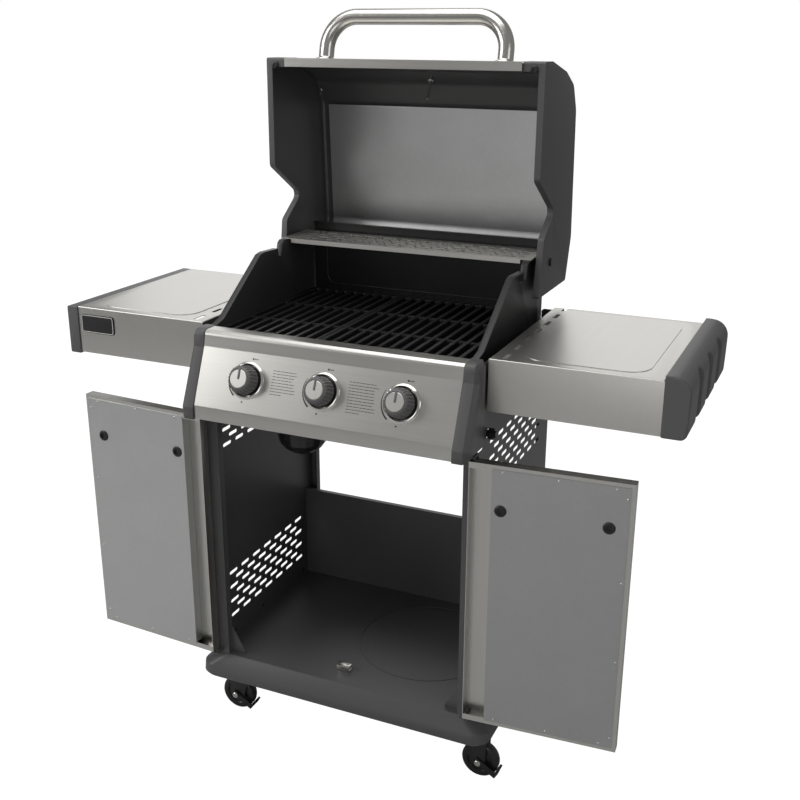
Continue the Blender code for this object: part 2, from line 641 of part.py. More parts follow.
def grates():
    """Two cast grates of unequal width, with a finger notch in the front edge of each."""
    clear = 0.0015
    front, rear = FIREBOX_FRONT + 0.005, FIREBOX_REAR - 0.005
    low, high = GRATE_TOP - GRATE_DEPTH, GRATE_TOP
    spans = {"left_grate": (-FIREBOX_HALF + clear, GRATE_SPLIT - 0.001),
             "right_grate": (GRATE_SPLIT + 0.001, FIREBOX_HALF - clear)}
    for name, (start, end) in spans.items():
        gaps = round((end - start - GRATE_BAR) / GRATE_PITCH)
        pitch = (end - start - GRATE_BAR) / gaps
        bars = [block((start + pitch * k, start + pitch * k + GRATE_BAR), (front, rear), (low, high))
                for k in range(gaps + 1)]
        depth = rear - front
        crossings = [(front - 0.0004, front + 0.008), (front + depth * 0.28, front + depth * 0.28 + 0.006),
                     (front + depth * 0.62, front + depth * 0.62 + 0.006), (rear - 0.008, rear + 0.0004)]
        grate = piece(name, together(*bars), "cast_iron")
        weld(grate, *[block((start - 0.0004, end + 0.0004), span, (low + 0.001, high - 0.0012))
                      for span in crossings])
        middle = (start + end) / 2
        cut(grate, rod((middle, front - 0.004, low - 0.002), (middle, front - 0.004, high + 0.002), 0.022, 12))
        notch = [(0.021, low + 0.001), (0.026, low + 0.001), (0.026, high - 0.0012), (0.021, high - 0.0012)]
        arch = aimed(turned(notch, 16, steady=True), (middle, front - 0.004, 0), (0, 0, 1))
        bmesh.ops.bisect_plane(arch, geom=arch.verts[:] + arch.edges[:] + arch.faces[:],
                               plane_co=(0, front - 0.0004, 0), plane_no=(0, -1, 0), clear_outer=True)
        bmesh.ops.holes_fill(arch, edges=arch.edges)
        weld(grate, closed(arch))


def warming_rack():
    """A perforated plate across the firebox with a turned-down lip."""
    half = FIREBOX_HALF + 0.012
    front = PIVOT_Y - 0.075
    rear = front + RACK_DEPTH
    rack = piece("warming_rack", block((-half, half), (front, rear), (RACK_TOP - SHEET, RACK_TOP)), "stainless")
    weld(rack, block((-half + 0.021, half - 0.021), (front, front + SHEET), (RACK_TOP - 0.009, RACK_TOP - 0.0005)))
    pitch = 0.042
    columns = int((2 * half - 0.05) / pitch)
    rows = int((RACK_DEPTH - 0.02) / 0.022)
    holes = []
    for row in range(rows):
        for k in range(columns - row % 2):
            x = pitch * (k - (columns - 1 - row % 2) / 2)
            y = front + 0.018 + 0.022 * row
            holes.append(block((x - 0.015, x + 0.015), (y - 0.003, y + 0.003),
                               (RACK_TOP - 0.004, RACK_TOP + 0.002)))
    cut(rack, *holes)


def grease_tray():
    """A shallow tray that slides out at the rear on the bowl's rails; two straps hold the cup."""
    front, rear = FIREBOX_FRONT + 0.072, FIREBOX_REAR - 0.006
    top = BOWL_BOTTOM - 0.0035
    tray = piece("grease_tray", block((-TRAY_HALF + 0.006, TRAY_HALF - 0.006), (front, rear), (TRAY_FLOOR, top)),
                 "galvanised")
    weld(tray, block((-TRAY_HALF - 0.006, TRAY_HALF + 0.006), (front, rear), (TRAY_FLOOR + 0.0048, TRAY_FLOOR + 0.0063)),
         block((-0.060, 0.060), (rear - 0.0005, rear + 0.022), (top - 0.006, top)))
    cut(tray, block((-TRAY_HALF + 0.0075, TRAY_HALF - 0.0075), (front + SHEET, rear - SHEET),
                    (TRAY_FLOOR + SHEET, top + 0.001)),
        rod((*CUP_CENTRE, TRAY_FLOOR - 0.001), (*CUP_CENTRE, TRAY_FLOOR + 0.004), 0.012))
    x, y = CUP_CENTRE
    under = CUP_TOP - 0.002 - GAP
    straps = []
    for side in (-1, 1):
        path = [(x + side * (CUP_RADIUS + 0.006), TRAY_FLOOR + 0.0005), (x + side * (CUP_RADIUS + 0.006), under - 0.0015),
                (x + side * (CUP_RADIUS + 0.001), under - 0.0015)]
        straps.append(prism(ribbon(path, side * -SHEET), "Y", y - 0.012, y + 0.012))
    weld(tray, *straps)


def grease_cup():
    x, y = CUP_CENTRE
    wall, lip = 0.0012, 0.004
    bottom = CUP_TOP - CUP_HEIGHT
    r = CUP_RADIUS
    curve = [(r * math.sin(a), bottom + 0.040 * (1 - math.cos(a))) for a in
             [math.radians(angle) for angle in (0, 30, 52, 70, 90)]]
    inner = [(max(radius - wall, 0), height + wall) for radius, height in curve]
    profile = (curve + [(r, CUP_TOP - 0.002), (r + lip, CUP_TOP - 0.002), (r + lip, CUP_TOP), (r - wall, CUP_TOP)]
               + inner[::-1])
    piece("grease_cup", aimed(turned(profile, 20), (x, y, 0), (0, 0, 1)), "black_enamel")


# --------------------------------------------------------------- the fascia
def on_fascia(x, shape):
    """A shape made about Z = 0, stood on the fascia's slope at a knob's axis."""
    shape.transform(Matrix.Translation(KNOB_CENTRE + Vector((x, 0, 0))) @ Matrix.Rotation(KNOB_TILT, 4, "X"))
    return shape


def control_panel():
    """The folded stainless fascia with a rolled top and three stem holes."""
    back = FIREBOX_FRONT - 0.006
    bend, foot = FASCIA_BEND, FASCIA_FOOT
    front = rounded([(back, FASCIA_TOP, 0), (bend[0] + 0.005, FASCIA_TOP, 0.010), (*bend, 0.008), (*foot, 0.006),
                     (foot[0] - 0.001, FASCIA_BOTTOM, 0.001), (foot[0] + 0.028, FASCIA_BOTTOM, 0)], 4)
    half = FIREBOX_HALF
    panel = piece("control_panel", prism(ribbon(front, THIN), "X", -half, half), "stainless")
    cut(panel, *[on_fascia(x, rod((0, 0, -0.006), (0, 0, 0.004), STEM_RADIUS + 0.0035)) for x in knob_places()])


def cap_outline(shrink):
    """A fascia cap's outline, moved inwards before its corners are rounded."""
    back = FIREBOX_FRONT - 0.002
    bend, foot = FASCIA_BEND, FASCIA_FOOT
    low = POST_TOP + 0.0008
    corners = [(back, FASCIA_TOP + 0.001, 0), (bend[0] + 0.002, FASCIA_TOP + 0.001, 0.012),
               (bend[0] - 0.001, bend[1] - 0.002, 0.008), (foot[0] - 0.004, foot[1] - 0.004, 0.006),
               (foot[0] - 0.005, low + 0.0015, 0.002), (foot[0] + 0.041, low, 0), (back, low, 0)]
    moved = inset([corner[:2] for corner in corners], shrink)
    return rounded([(y, z, corner[2]) for (y, z), corner in zip(moved, corners)], 3)


def panel_cap(side):
    """A moulded end of the fascia, hollow inside, with a chamfered outer edge."""
    inner, outer = FIREBOX_HALF + GAP, LID_HALF + 0.001
    wall, chamfer = 0.0035, 0.008

    def level(x, shrink):
        return [(side * x, y, z) for y, z in cap_outline(shrink)]

    name = "left_panel_cap" if side < 0 else "right_panel_cap"
    cap = piece(name, loft([level(inner, 0), level(outer - chamfer, 0), level(outer, chamfer)]), "grey_plastic")
    cut(cap, loft([level(inner - 0.001, wall), level(outer - chamfer - 0.001, wall),
                   level(outer - wall, chamfer + 0.002)]))


def knobs():
    """Each valve's stem slides in when pushed, and its knob turns with the stem's bore as guide."""
    for name, x in zip(("left", "centre", "right"), knob_places()):
        place = KNOB_CENTRE + Vector((x, 0, 0))
        push = holder(f"{name}_knob_axis", place, (KNOB_TILT, 0, 0))
        piece(f"{name}_valve_stem", rod((0, 0, -0.036), (0, 0, 0.0145), STEM_RADIUS), "brass", push.name, True)
        r = KNOB_RADIUS
        profile = [(STEM_RADIUS + GAP, 0.0055), (r, 0.0055), (r, 0.0080), (r - 0.0010, 0.0220), (r - 0.0040, 0.0300),
                   (0.0175, 0.0315), (0.0165, 0.0330), (0, 0.0330), (0, 0.0160), (STEM_RADIUS + GAP, 0.0160)]
        piece(f"{name}_knob", turned(profile, 24, steady=True), "grey_plastic", push.name, True)


def gas_manifold():
    """The supply pipe, three valve bodies with nozzles, and the inlet through the right side panel."""
    pipe_y, radius = FIREBOX_FRONT - 0.020, 0.007
    turn_x = FIREBOX_HALF - 0.016
    bends = rounded([(-KNOB_PITCH - 0.020, pipe_y, 0), (turn_x, pipe_y, 0.012), (turn_x, INLET_Y, 0.012),
                     (CART_HALF + 0.016, INLET_Y, 0)], 3)
    manifold = piece("gas_manifold", tube([(x, y, INLET_Z) for x, y in bends], radius), "black_enamel")
    weld(manifold, rod((CART_HALF + 0.003, INLET_Y, INLET_Z), (CART_HALF + 0.013, INLET_Y, INLET_Z), 0.011, 6))
    weld(manifold, *[rod((x, pipe_y, INLET_Z + 0.001), (x, pipe_y, BURNER_Z + 0.001), 0.0055)
                     for x in knob_places()])
    weld(manifold, *[on_fascia(x, rod((0, 0, -0.052), (0, 0, -0.026), 0.011)) for x in knob_places()])
    nozzle_end = FIREBOX_FRONT - 0.0085
    weld(manifold, *[rod((x, pipe_y - 0.001, BURNER_Z - 0.0005), (x, nozzle_end, BURNER_Z - 0.0005), 0.0035, 10)
                     for x in knob_places()])
    cut(manifold, *[on_fascia(x, rod((0, 0, -0.0445), (0, 0, -0.020), STEM_RADIUS + GAP, 10))
                    for x in knob_places()])


# ------------------------------------------------------------------ the lid
def lid_place(back, up):
    """A point from the lid's pivot: back along +Y and up along +Z while the lid is open."""
    return (PIVOT_Y + back, PIVOT_Z + up)


def lid_corners():
    """An end cap's outline as (y, z, radius), down the front edge first."""
    reach, drop, rise, tail = LID_REACH, LID_DROP, LID_RISE, LID_TAIL
    offsets = [(-drop, reach, 0.004), (-drop - 0.002, 0.162, 0.012), (0.0165, 0.096, 0.013),
               (-0.047, 0.050, 0.014), (-0.053, 0.007, 0.008), (-0.066, -tail, 0.004),
               (rise - 0.027, -tail, 0.008), (rise, 0.026, 0.040), (rise - 0.014, reach - 0.094, 0.035),
               (rise - 0.040, reach - 0.046, 0.025), (0.052, reach - 0.0205, 0.050), (-0.042, reach, 0.020)]
    return [(*lid_place(back, up), radius) for back, up, radius in offsets]


def lid_path(depth):
    """The lid's outline from the rim over the top to the rear edge, moved inwards."""
    outline = inset(rounded(lid_corners(), 5), depth)
    rim = max(range(len(outline)), key=lambda i: outline[i][1] - outline[i][0])
    ordered = outline[rim:] + outline[:rim]
    ordered = ordered[::-1]
    path = [point for point in ordered if point[0] > PIVOT_Y - LID_DROP + 0.020]
    cut_off = [k for k, (_, z) in enumerate(path) if z < PIVOT_Z - LID_TAIL + 0.012]
    path = path[:cut_off[0]] if cut_off else path
    rim_z = PIVOT_Z + LID_REACH - depth
    return [(PIVOT_Y - LID_DROP + LID_WALL + 2 * GAP, rim_z)] + path + [lid_place(LID_RISE - 0.027 - depth, -LID_TAIL + 0.006)]


def lid_cap(side):
    """A cast end cap: a wall, a narrow flange along its front and notch, and a wide band over the lid."""
    name = "left_lid_cap" if side < 0 else "right_lid_cap"
    outline = rounded(lid_corners(), 5)
    cap = piece(name, prism(outline, "X", *both(side, LID_HALF - LID_BAND, LID_HALF)), "grey_paint", "lid_pivot")
    cut(cap, prism(inset(outline, LID_WALL), "X", *both(side, LID_HALF - LID_BAND - 0.001, LID_HALF - LID_WALL)))
    rim = PIVOT_Z + LID_REACH - 0.0165
    inside = [(PIVOT_Y - 0.120, rim), (PIVOT_Y - LID_DROP + 0.020, rim), lid_place(0.050, 0.230),
              lid_place(LID_RISE - 0.040, -LID_TAIL + 0.020), lid_place(LID_RISE - 0.040, -LID_TAIL - 0.020),
              (PIVOT_Y - 0.120, PIVOT_Z - LID_TAIL - 0.020)]
    cut(cap, prism(inside, "X", *both(side, LID_HALF - LID_BAND - 0.001, LID_HALF - 0.012)),
        rod((side * (LID_HALF - 0.010), PIVOT_Y, PIVOT_Z), (side * (LID_HALF + 0.004), PIVOT_Y, PIVOT_Z),
            BOLT_RADIUS + 0.0005))


def pivot_bolt(side):
    name = "left_pivot_bolt" if side < 0 else "right_pivot_bolt"
    shank = LID_HALF - LID_WALL - 0.015
    head = LID_HALF + GAP
    bolt = piece(name, rod((side * shank, PIVOT_Y, PIVOT_Z), (side * (head + 0.001), PIVOT_Y, PIVOT_Z), BOLT_RADIUS),
                 "black_enamel")
    weld(bolt, rod((side * head, PIVOT_Y, PIVOT_Z), (side * (head + 0.004), PIVOT_Y, PIVOT_Z), 0.0075, 20))


def lid_sheets():
    """The stainless skin, the dark panel inside it and the bright heat shield over its rear part."""
    half = LID_HALF - LID_WALL - 0.004
    skin_depth = LID_WALL + GAP
    panel_depth = skin_depth + 0.001 + 0.0005
    shield_depth = panel_depth + 0.008
    piece("lid_skin", prism(ribbon(lid_path(skin_depth), -0.001), "X", -half, half), "stainless", "lid_pivot")
    panel = piece("lid_inner_panel", prism(ribbon(lid_path(panel_depth), -0.001), "X", -half + 0.006, half - 0.006),
                  "grey_paint", "lid_pivot")
    shield_top = PIVOT_Z + LID_REACH - 0.098
    path = [point for point in lid_path(shield_depth) if point[1] < shield_top]
    anchor = [point for point in lid_path(panel_depth + 0.001 + GAP) if point[1] < shield_top]
    folded = [anchor[0], *path, anchor[-1]]
    piece("lid_heat_shield", prism(ribbon(folded, -0.0008), "X", -half + 0.020, half - 0.020),
          "galvanised", "lid_pivot")
    point, normal = lid_slope(GAUGE_FROM_RIM)
    stem = Vector((0, *point)), Vector((0, *normal))
    bore = rod(stem[0] - stem[1] * 0.012, stem[0] + stem[1] * 0.012, 0.0038)
    cut(panel, bore)
    cut(bpy.data.objects["lid_skin"],
        rod(stem[0] - stem[1] * 0.012, stem[0] + stem[1] * 0.012, 0.0038))


def lid_slope(from_rim):
    """A point on the skin's outer face, and the face's outward normal there, by distance from the rim."""
    y = PIVOT_Y - LID_DROP + from_rim
    path = lid_path(LID_WALL + GAP)
    for a, b in zip(path, path[1:]):
        if a[0] <= y <= b[0]:
            share = (y - a[0]) / (b[0] - a[0])
            along = Vector((b[0] - a[0], b[1] - a[1])).normalized()
            return (y, a[1] + share * (b[1] - a[1])), (-along.y, along.x)
    raise ValueError("the gauge or handle lies off the lid's top")


def lid_trim():
    """A folded stainless strip along the front rim, between the end caps."""
    rim_y, rim_z = PIVOT_Y - LID_DROP - 0.0045, PIVOT_Z + LID_REACH
    path = [(rim_y + 0.024, rim_z), (rim_y, rim_z), (rim_y, rim_z - 0.016), (rim_y + 0.016, rim_z - 0.016)]
    half = LID_HALF - LID_BAND - 0.0008
    piece("lid_trim", prism(ribbon(path, 0.001), "X", -half, half), "stainless", "lid_pivot")


def lid_handle():
    """A bent tube on two round ferrules, square to the lid's face."""
    point, normal = lid_slope(HANDLE_FROM_RIM)
    foot, up = Vector((0, *point)), Vector((0, *normal))
    curve = rounded([(-HANDLE_HALF, 0.002, 0), (-HANDLE_HALF, HANDLE_RISE, HANDLE_BEND),
                     (HANDLE_HALF, HANDLE_RISE, HANDLE_BEND), (HANDLE_HALF, 0.002, 0)], 7)
    path = [foot + Vector((x, 0, 0)) + up * h for x, h in curve]
    handle = piece("lid_handle", tube(path, HANDLE_RADIUS, 12), "polished_tube", "lid_pivot")
    rings = [(0, GAP), (0.0225, GAP), (0.0225, 0.0025), (0.0180, 0.0055), (0, 0.0055)]
    weld(handle, *[aimed(turned(rings, 20), foot + Vector((side * HANDLE_HALF, 0, 0)), up) for side in (-1, 1)])


def thermometer():
    point, normal = lid_slope(GAUGE_FROM_RIM)
    profile = [(0, -0.048), (0.0025, -0.048), (0.0025, -0.0105), (0.0060, -0.0105), (0.0060, -0.0065),
               (0.0033, -0.0065), (0.0033, 0.0035), (0.0300, 0.0050), (0.0300, 0.0130), (0.0270, 0.0145), (0, 0.0145)]
    piece("thermometer", aimed(turned(profile, 24), (0, *point), (0, *normal)), "stainless", "lid_pivot")


# -------------------------------------------------------------- the shelves
def shelf(side):
    """A folded stainless tray with a raised pad, vents along its inner edge and a mounting channel."""
    name = "left_shelf" if side < 0 else "right_shelf"
    low = SHELF_TOP - SHELF_HEIGHT
    body = piece(name, block(both(side, SHELF_INNER, SHELF_OUTER), (SHELF_FRONT, SHELF_REAR), (low, SHELF_TOP)),
                 "stainless")
    cut(body, block(both(side, SHELF_INNER + THIN, SHELF_OUTER - THIN), (SHELF_FRONT + THIN, SHELF_REAR - THIN),
                    (low + THIN, SHELF_TOP - THIN)))
    cut(body, block(both(side, SHELF_INNER + 0.014, SHELF_OUTER - 0.014), (SHELF_FRONT + 0.014, SHELF_REAR - 0.014),
                    (low - 0.001, low + 2 * THIN)))
    pad = rounded_box(both(side, SHELF_INNER + 0.046, SHELF_OUTER - 0.032), (SHELF_FRONT + 0.022, SHELF_REAR - 0.022),
                      0.040, 6)
    weld(body, prism(pad, "Z", SHELF_TOP - THIN / 2, SHELF_TOP + 0.0008),
         block(both(side, CART_HALF + GAP, SHELF_INNER + THIN / 2), (SHELF_FRONT + 0.060, SHELF_REAR - 0.045),
               (low + 0.013, SHELF_TOP - 0.020)))
    x = side * (SHELF_INNER + 0.024)
    pitch = (SHELF_REAR - SHELF_FRONT - 0.036) / 6
    openings = []
    for k in range(7):
        y = SHELF_FRONT + 0.027 + pitch * k
        openings.append(block((x - 0.004, x + 0.004), (y - 0.016, y + 0.016), (SHELF_TOP - 0.006, SHELF_TOP + 0.004)))
    cut(body, *openings)


def left_shelf_cap():
    low, high = SHELF_TOP - SHELF_HEIGHT - 0.003, SHELF_TOP - 0.001
    x = (-SHELF_OUTER - LEFT_CAP_WIDTH, -SHELF_OUTER - GAP)
    outline = rounded([(x[0], low, 0.003), (x[1], low, 0), (x[1], high, 0), (x[0], high, 0.003)], 3)
    cap = piece("left_shelf_cap", prism(outline, "Y", SHELF_FRONT - 0.003, SHELF_REAR + 0.003), "grey_plastic")
    cut(cap, block((x[0] + 0.003, x[1] + 0.001), (SHELF_FRONT + 0.001, SHELF_REAR - 0.001), (low + 0.004, high - 0.004)))


def right_shelf_cap():
    """A thick rounded end with three upright grooves, a tool hook at the foot of each."""
    low, high = SHELF_TOP - SHELF_HEIGHT - 0.002, SHELF_TOP + 0.010
    inner, outer = SHELF_OUTER + GAP, SHELF_OUTER + RIGHT_CAP_WIDTH
    outline = rounded([(inner, low, 0), (outer - 0.002, low, 0.012), (outer, high, 0.030), (inner, high, 0)], 6)
    front, rear = SHELF_FRONT - 0.003, SHELF_REAR + 0.003
    cap = piece("right_shelf_cap", prism(outline, "Y", front, rear), "grey_plastic")
    spacing = (rear - front) / 4
    grooves = [front + spacing * (k + 1) for k in range(3)]
    depth, radius = 0.016, 0.021
    for y in grooves:
        channel = [(0, 0), (radius, 0), (radius, high - low - 0.024), (radius * 0.80, high - low - 0.014),
                   (radius * 0.45, high - low - 0.0085), (0, high - low - 0.0065)]
        cut(cap, aimed(turned(channel, 16), (outer + radius - depth, y, low - 0.001), (0, 0, 1)))
    cut(cap, block((inner - 0.001, outer - depth - 0.006), (front + 0.004, rear - 0.004), (low + 0.004, high - 0.014)))
    for y in grooves:
        hook = [(outer - depth - 0.003, low + 0.004), (outer - 0.007, low + 0.004), (outer - 0.004, low + 0.012),
                (outer - 0.007, low + 0.014), (outer - 0.010, low + 0.009), (outer - depth - 0.003, low + 0.009)]
        weld(cap, prism(hook, "Y", y - 0.004, y + 0.004))


def badge_plate():
    edge = -SHELF_OUTER + 0.007
    outline = rounded_box((edge, edge + 0.078), (SHELF_TOP - 0.051, SHELF_TOP - 0.014), 0.006, 4)
    piece("badge_plate", prism(outline, "Y", SHELF_FRONT - GAP - 0.002, SHELF_FRONT - GAP), "black_plastic")


# ---------------------------------------------------------------- the whole
def clear_scene():
    for thing in list(bpy.data.objects):
        bpy.data.objects.remove(thing, do_unlink=True)


def build():
    clear_scene()
    make_finishes()
    holder("grill", (-X_MIDDLE, -Y_MIDDLE, 0))
    holder("lid_pivot", (0, PIVOT_Y, PIVOT_Z))
    base_tray()
    door_catch()
    back_panel()
    casters()
    firebox_bowl()
    burners()
    flame_tamers()
    grates()
    warming_rack()
    grease_tray()
    grease_cup()
    control_panel()
    knobs()
    gas_manifold()
    for side in (-1, 1):
        side_panel(side)
        door(side)
        firebox_side(side)
        panel_cap(side)
        lid_cap(side)
        pivot_bolt(side)
        shelf(side)
    lid_sheets()
    lid_trim()
    lid_handle()
    thermometer()
    left_shelf_cap()
    right_shelf_cap()
    badge_plate()


build()
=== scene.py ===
"""Looks for a gas barbecue grill on a cabinet cart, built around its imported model."""
import json
import math
import random

import bmesh
import bpy
from mathutils import Matrix, Vector

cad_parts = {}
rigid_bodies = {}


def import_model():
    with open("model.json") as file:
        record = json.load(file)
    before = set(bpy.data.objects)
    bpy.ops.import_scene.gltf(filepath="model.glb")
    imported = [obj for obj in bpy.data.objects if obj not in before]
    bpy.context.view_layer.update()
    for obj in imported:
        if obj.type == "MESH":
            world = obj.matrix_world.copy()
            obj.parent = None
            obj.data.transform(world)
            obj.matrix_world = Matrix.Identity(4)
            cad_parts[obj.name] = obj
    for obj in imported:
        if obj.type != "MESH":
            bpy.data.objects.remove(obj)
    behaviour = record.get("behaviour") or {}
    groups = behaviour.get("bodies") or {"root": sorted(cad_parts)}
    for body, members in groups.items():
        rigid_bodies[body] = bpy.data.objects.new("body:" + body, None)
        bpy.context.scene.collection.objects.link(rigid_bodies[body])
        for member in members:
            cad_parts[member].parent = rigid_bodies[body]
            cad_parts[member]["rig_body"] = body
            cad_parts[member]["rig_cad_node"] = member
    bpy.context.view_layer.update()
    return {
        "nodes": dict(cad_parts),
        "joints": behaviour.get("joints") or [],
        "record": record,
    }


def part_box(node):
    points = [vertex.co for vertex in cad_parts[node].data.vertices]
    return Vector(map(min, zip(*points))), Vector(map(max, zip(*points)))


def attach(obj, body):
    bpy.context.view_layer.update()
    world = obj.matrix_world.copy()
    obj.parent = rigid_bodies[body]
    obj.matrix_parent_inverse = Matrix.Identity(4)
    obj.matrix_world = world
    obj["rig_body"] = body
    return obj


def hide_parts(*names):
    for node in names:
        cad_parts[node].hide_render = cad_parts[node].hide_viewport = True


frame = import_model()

bl_info = {
    "name": "Cart grill looks",
    "version": (1, 0, 0),
    "blender": (4, 5, 0),
    "location": "3D View > Sidebar > Grill",
    "description": "Builds the visible pieces and finishes of a cart grill around its packed model",
    "category": "Object",
}

NODES = frame["nodes"]
JOINTS = {joint["name"]: joint for joint in frame["joints"]}
POLE = 1e-5             # radius that stands for a point on a turned piece's axis
PRINT = 0.00012         # thickness of the printed marks
SOFTBOXES = (           # name, place, target, size, power
    ("overhead_softbox", (-0.4, -0.5, 3.2), (0, 0, 0.6), 2.4, 44),
    ("left_softbox", (-3.0, -2.2, 2.2), (0, 0, 0.7), 2.0, 52),
    ("right_softbox", (3.1, -1.4, 1.9), (0, 0, 0.7), 1.4, 9),
    ("front_fill", (0.4, -3.6, 1.0), (0, 0, 0.5), 1.4, 9),
    ("back_softbox", (-1.3, 3.4, 2.2), (0, 0, 0.8), 3.6, 36),
)
UP = Vector((0, 0, 1))
CENTRE_X = sum(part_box("control_panel"), Vector()).x / 2
LID_PIVOT = Vector(JOINTS["lid_hinge"]["pos_m"])
KNOB_OUT = Vector((0, -0.919847, 0.392288))
HANDLE_HALF, HANDLE_RISE, HANDLE_RADIUS = 0.184, 0.0845, 0.0150
HANDS = ("left", "right")
KNOBS = ("left", "centre", "right")


# ------------------------------------------------------------- shader maths
class Socket:
    """A shader value that can stand in sums and products."""

    def __init__(self, surface, out):
        self.surface, self.out = surface, out

    def maths(self, operation, *values):
        return self.surface.add("ShaderNodeMath", {"operation": operation}, dict(enumerate(values)))

    def __add__(self, other):
        return self.maths("ADD", self, other)

    def __radd__(self, other):
        return self.maths("ADD", other, self)

    def __sub__(self, other):
        return self.maths("SUBTRACT", self, other)

    def __rsub__(self, other):
        return self.maths("SUBTRACT", other, self)

    def __mul__(self, other):
        return self.maths("MULTIPLY", self, other)

    def __rmul__(self, other):
        return self.maths("MULTIPLY", other, self)


class Surface:
    """A material under construction: one node tree around one principled shader."""

    def __init__(self, name, **fixed):
        self.material = bpy.data.materials.new(name)
        self.material.use_nodes = True
        self.tree = self.material.node_tree
        self.shader = self.tree.nodes["Principled BSDF"]
        for socket, value in fixed.items():
            self.shader.inputs[socket.replace("_", " ")].default_value = value

    def add(self, kind, settings=None, sockets=None, output=0):
        node = self.tree.nodes.new(kind)
        for key, value in (settings or {}).items():
            if key == "stops":
                ramp = node.color_ramp.elements
                while len(ramp) < len(value):
                    ramp.new(0.5)
                for element, (position, colour) in zip(ramp, value):
                    element.position, element.color = position, colour
            else:
                setattr(node, key, value)
        for key, value in (sockets or {}).items():
            self.feed(node.inputs[key], value)
        return Socket(self, node.outputs[output])

    def feed(self, socket, value):
        if isinstance(value, Socket):
            self.tree.links.new(value.out, socket)
        else:
            socket.default_value = value

    def to(self, socket, value):
        self.feed(self.shader.inputs[socket], value)

    def place(self, stretch=(1, 1, 1), turn=(0, 0, 0)):
        where = self.add("ShaderNodeTexCoord", output="Object")
        return self.add("ShaderNodeMapping", sockets={"Vector": where, "Scale": stretch, "Rotation": turn})

    def noise(self, scale, detail=3.0, stretch=(1, 1, 1), roughness=0.55):
        return self.add("ShaderNodeTexNoise", {"noise_dimensions": "3D"},
                        {"Vector": self.place(stretch), "Scale": scale, "Detail": detail, "Roughness": roughness})

    def blend(self, factor, first, second):
        return self.add("ShaderNodeMix", {"data_type": "RGBA"},
                        {0: factor, 6: (*first, 1) if not isinstance(first, Socket) else first,
                         7: (*second, 1) if not isinstance(second, Socket) else second}, output=2)

    def bump(self, height, distance, strength=1.0):
        self.to("Normal", self.add("ShaderNodeBump", sockets={"Height": height, "Distance": distance,
                                                              "Strength": strength}))


def shade(colour, share):
    return tuple(min(1.0, part * share) for part in colour)


def brushed(name, grain, colour, rough, spread=0.05, lines=420.0):
    """Stainless sheet ground in one direction: grain is the axis that the scratches follow."""
    steel = Surface(name, Metallic=1.0)
    stretch = tuple(0.012 if axis == grain else 1.0 for axis in "XYZ")
    scratch = steel.noise(lines, 4.0, stretch, 0.7)
    broad = steel.noise(lines / 7, 2.0, stretch)
    cloud = steel.noise(5.0, 3.0)
    tone = scratch * 0.55 + broad * 0.25 + cloud * 0.20
    steel.to("Base Color", steel.blend(tone, shade(colour, 0.86), shade(colour, 1.12)))
    steel.to("Roughness", scratch * spread + cloud * spread + (rough - spread))
    steel.bump(scratch, 0.00003, 0.35)
    return steel.material


def ground_tube(colour):
    tube = Surface("ground_stainless_tube", Metallic=1.0)
    rings = tube.noise(500.0, 3.0, (1.0, 0.08, 0.08), 0.6)
    cloud = tube.noise(9.0, 2.0)
    tube.to("Base Color", tube.blend(rings * 0.6 + cloud * 0.4, shade(colour, 0.90), shade(colour, 1.08)))
    tube.to("Roughness", rings * 0.06 + cloud * 0.05 + 0.17)
    tube.bump(rings, 0.00002, 0.3)
    return tube.material


def galvanised(name, colour, rough=0.36):
    """Zinc-coated sheet with faint crystals."""
    zinc = Surface(name, Metallic=1.0)
    crystal = zinc.add("ShaderNodeTexVoronoi", {"feature": "F1", "distance": "EUCLIDEAN"},
                       {"Vector": zinc.place(), "Scale": 230.0, "Randomness": 1.0}, "Color")
    grey = zinc.add("ShaderNodeRGBToBW", sockets={0: crystal})
    cloud = zinc.noise(14.0, 3.0)
    fine = zinc.noise(420.0, 2.0)
    tone = grey * 0.20 + cloud * 0.45 + fine * 0.35
    zinc.to("Base Color", zinc.blend(tone, shade(colour, 0.90), shade(colour, 1.10)))
    zinc.to("Roughness", grey * 0.03 + fine * 0.06 + cloud * 0.04 + (rough - 0.06))
    zinc.bump(fine, 0.00004, 0.3)
    return zinc.material


def coated(name, colour, rough, grain, depth, spread=0.12, **fixed):
    """Paint, enamel or plastic: a fine skin over a colour that drifts a little."""
    coat = Surface(name, **fixed)
    fine = coat.noise(grain, 3.0)
    cloud = coat.noise(7.0, 4.0)
    coat.to("Base Color", coat.blend(cloud * 0.7 + fine * 0.3, shade(colour, 1 - spread), shade(colour, 1 + spread)))
    coat.to("Roughness", fine * 0.10 + cloud * 0.08 + (rough - 0.09))
    coat.bump(fine, depth, 0.5)
    return coat.material


def bright_plate(name, colour, rough):
    plate = Surface(name, Metallic=1.0)
    cloud = plate.noise(60.0, 3.0)
    plate.to("Base Color", plate.blend(cloud, shade(colour, 0.93), shade(colour, 1.05)))
    plate.to("Roughness", cloud * 0.06 + (rough - 0.03))
    return plate.material


FINISHES = {}


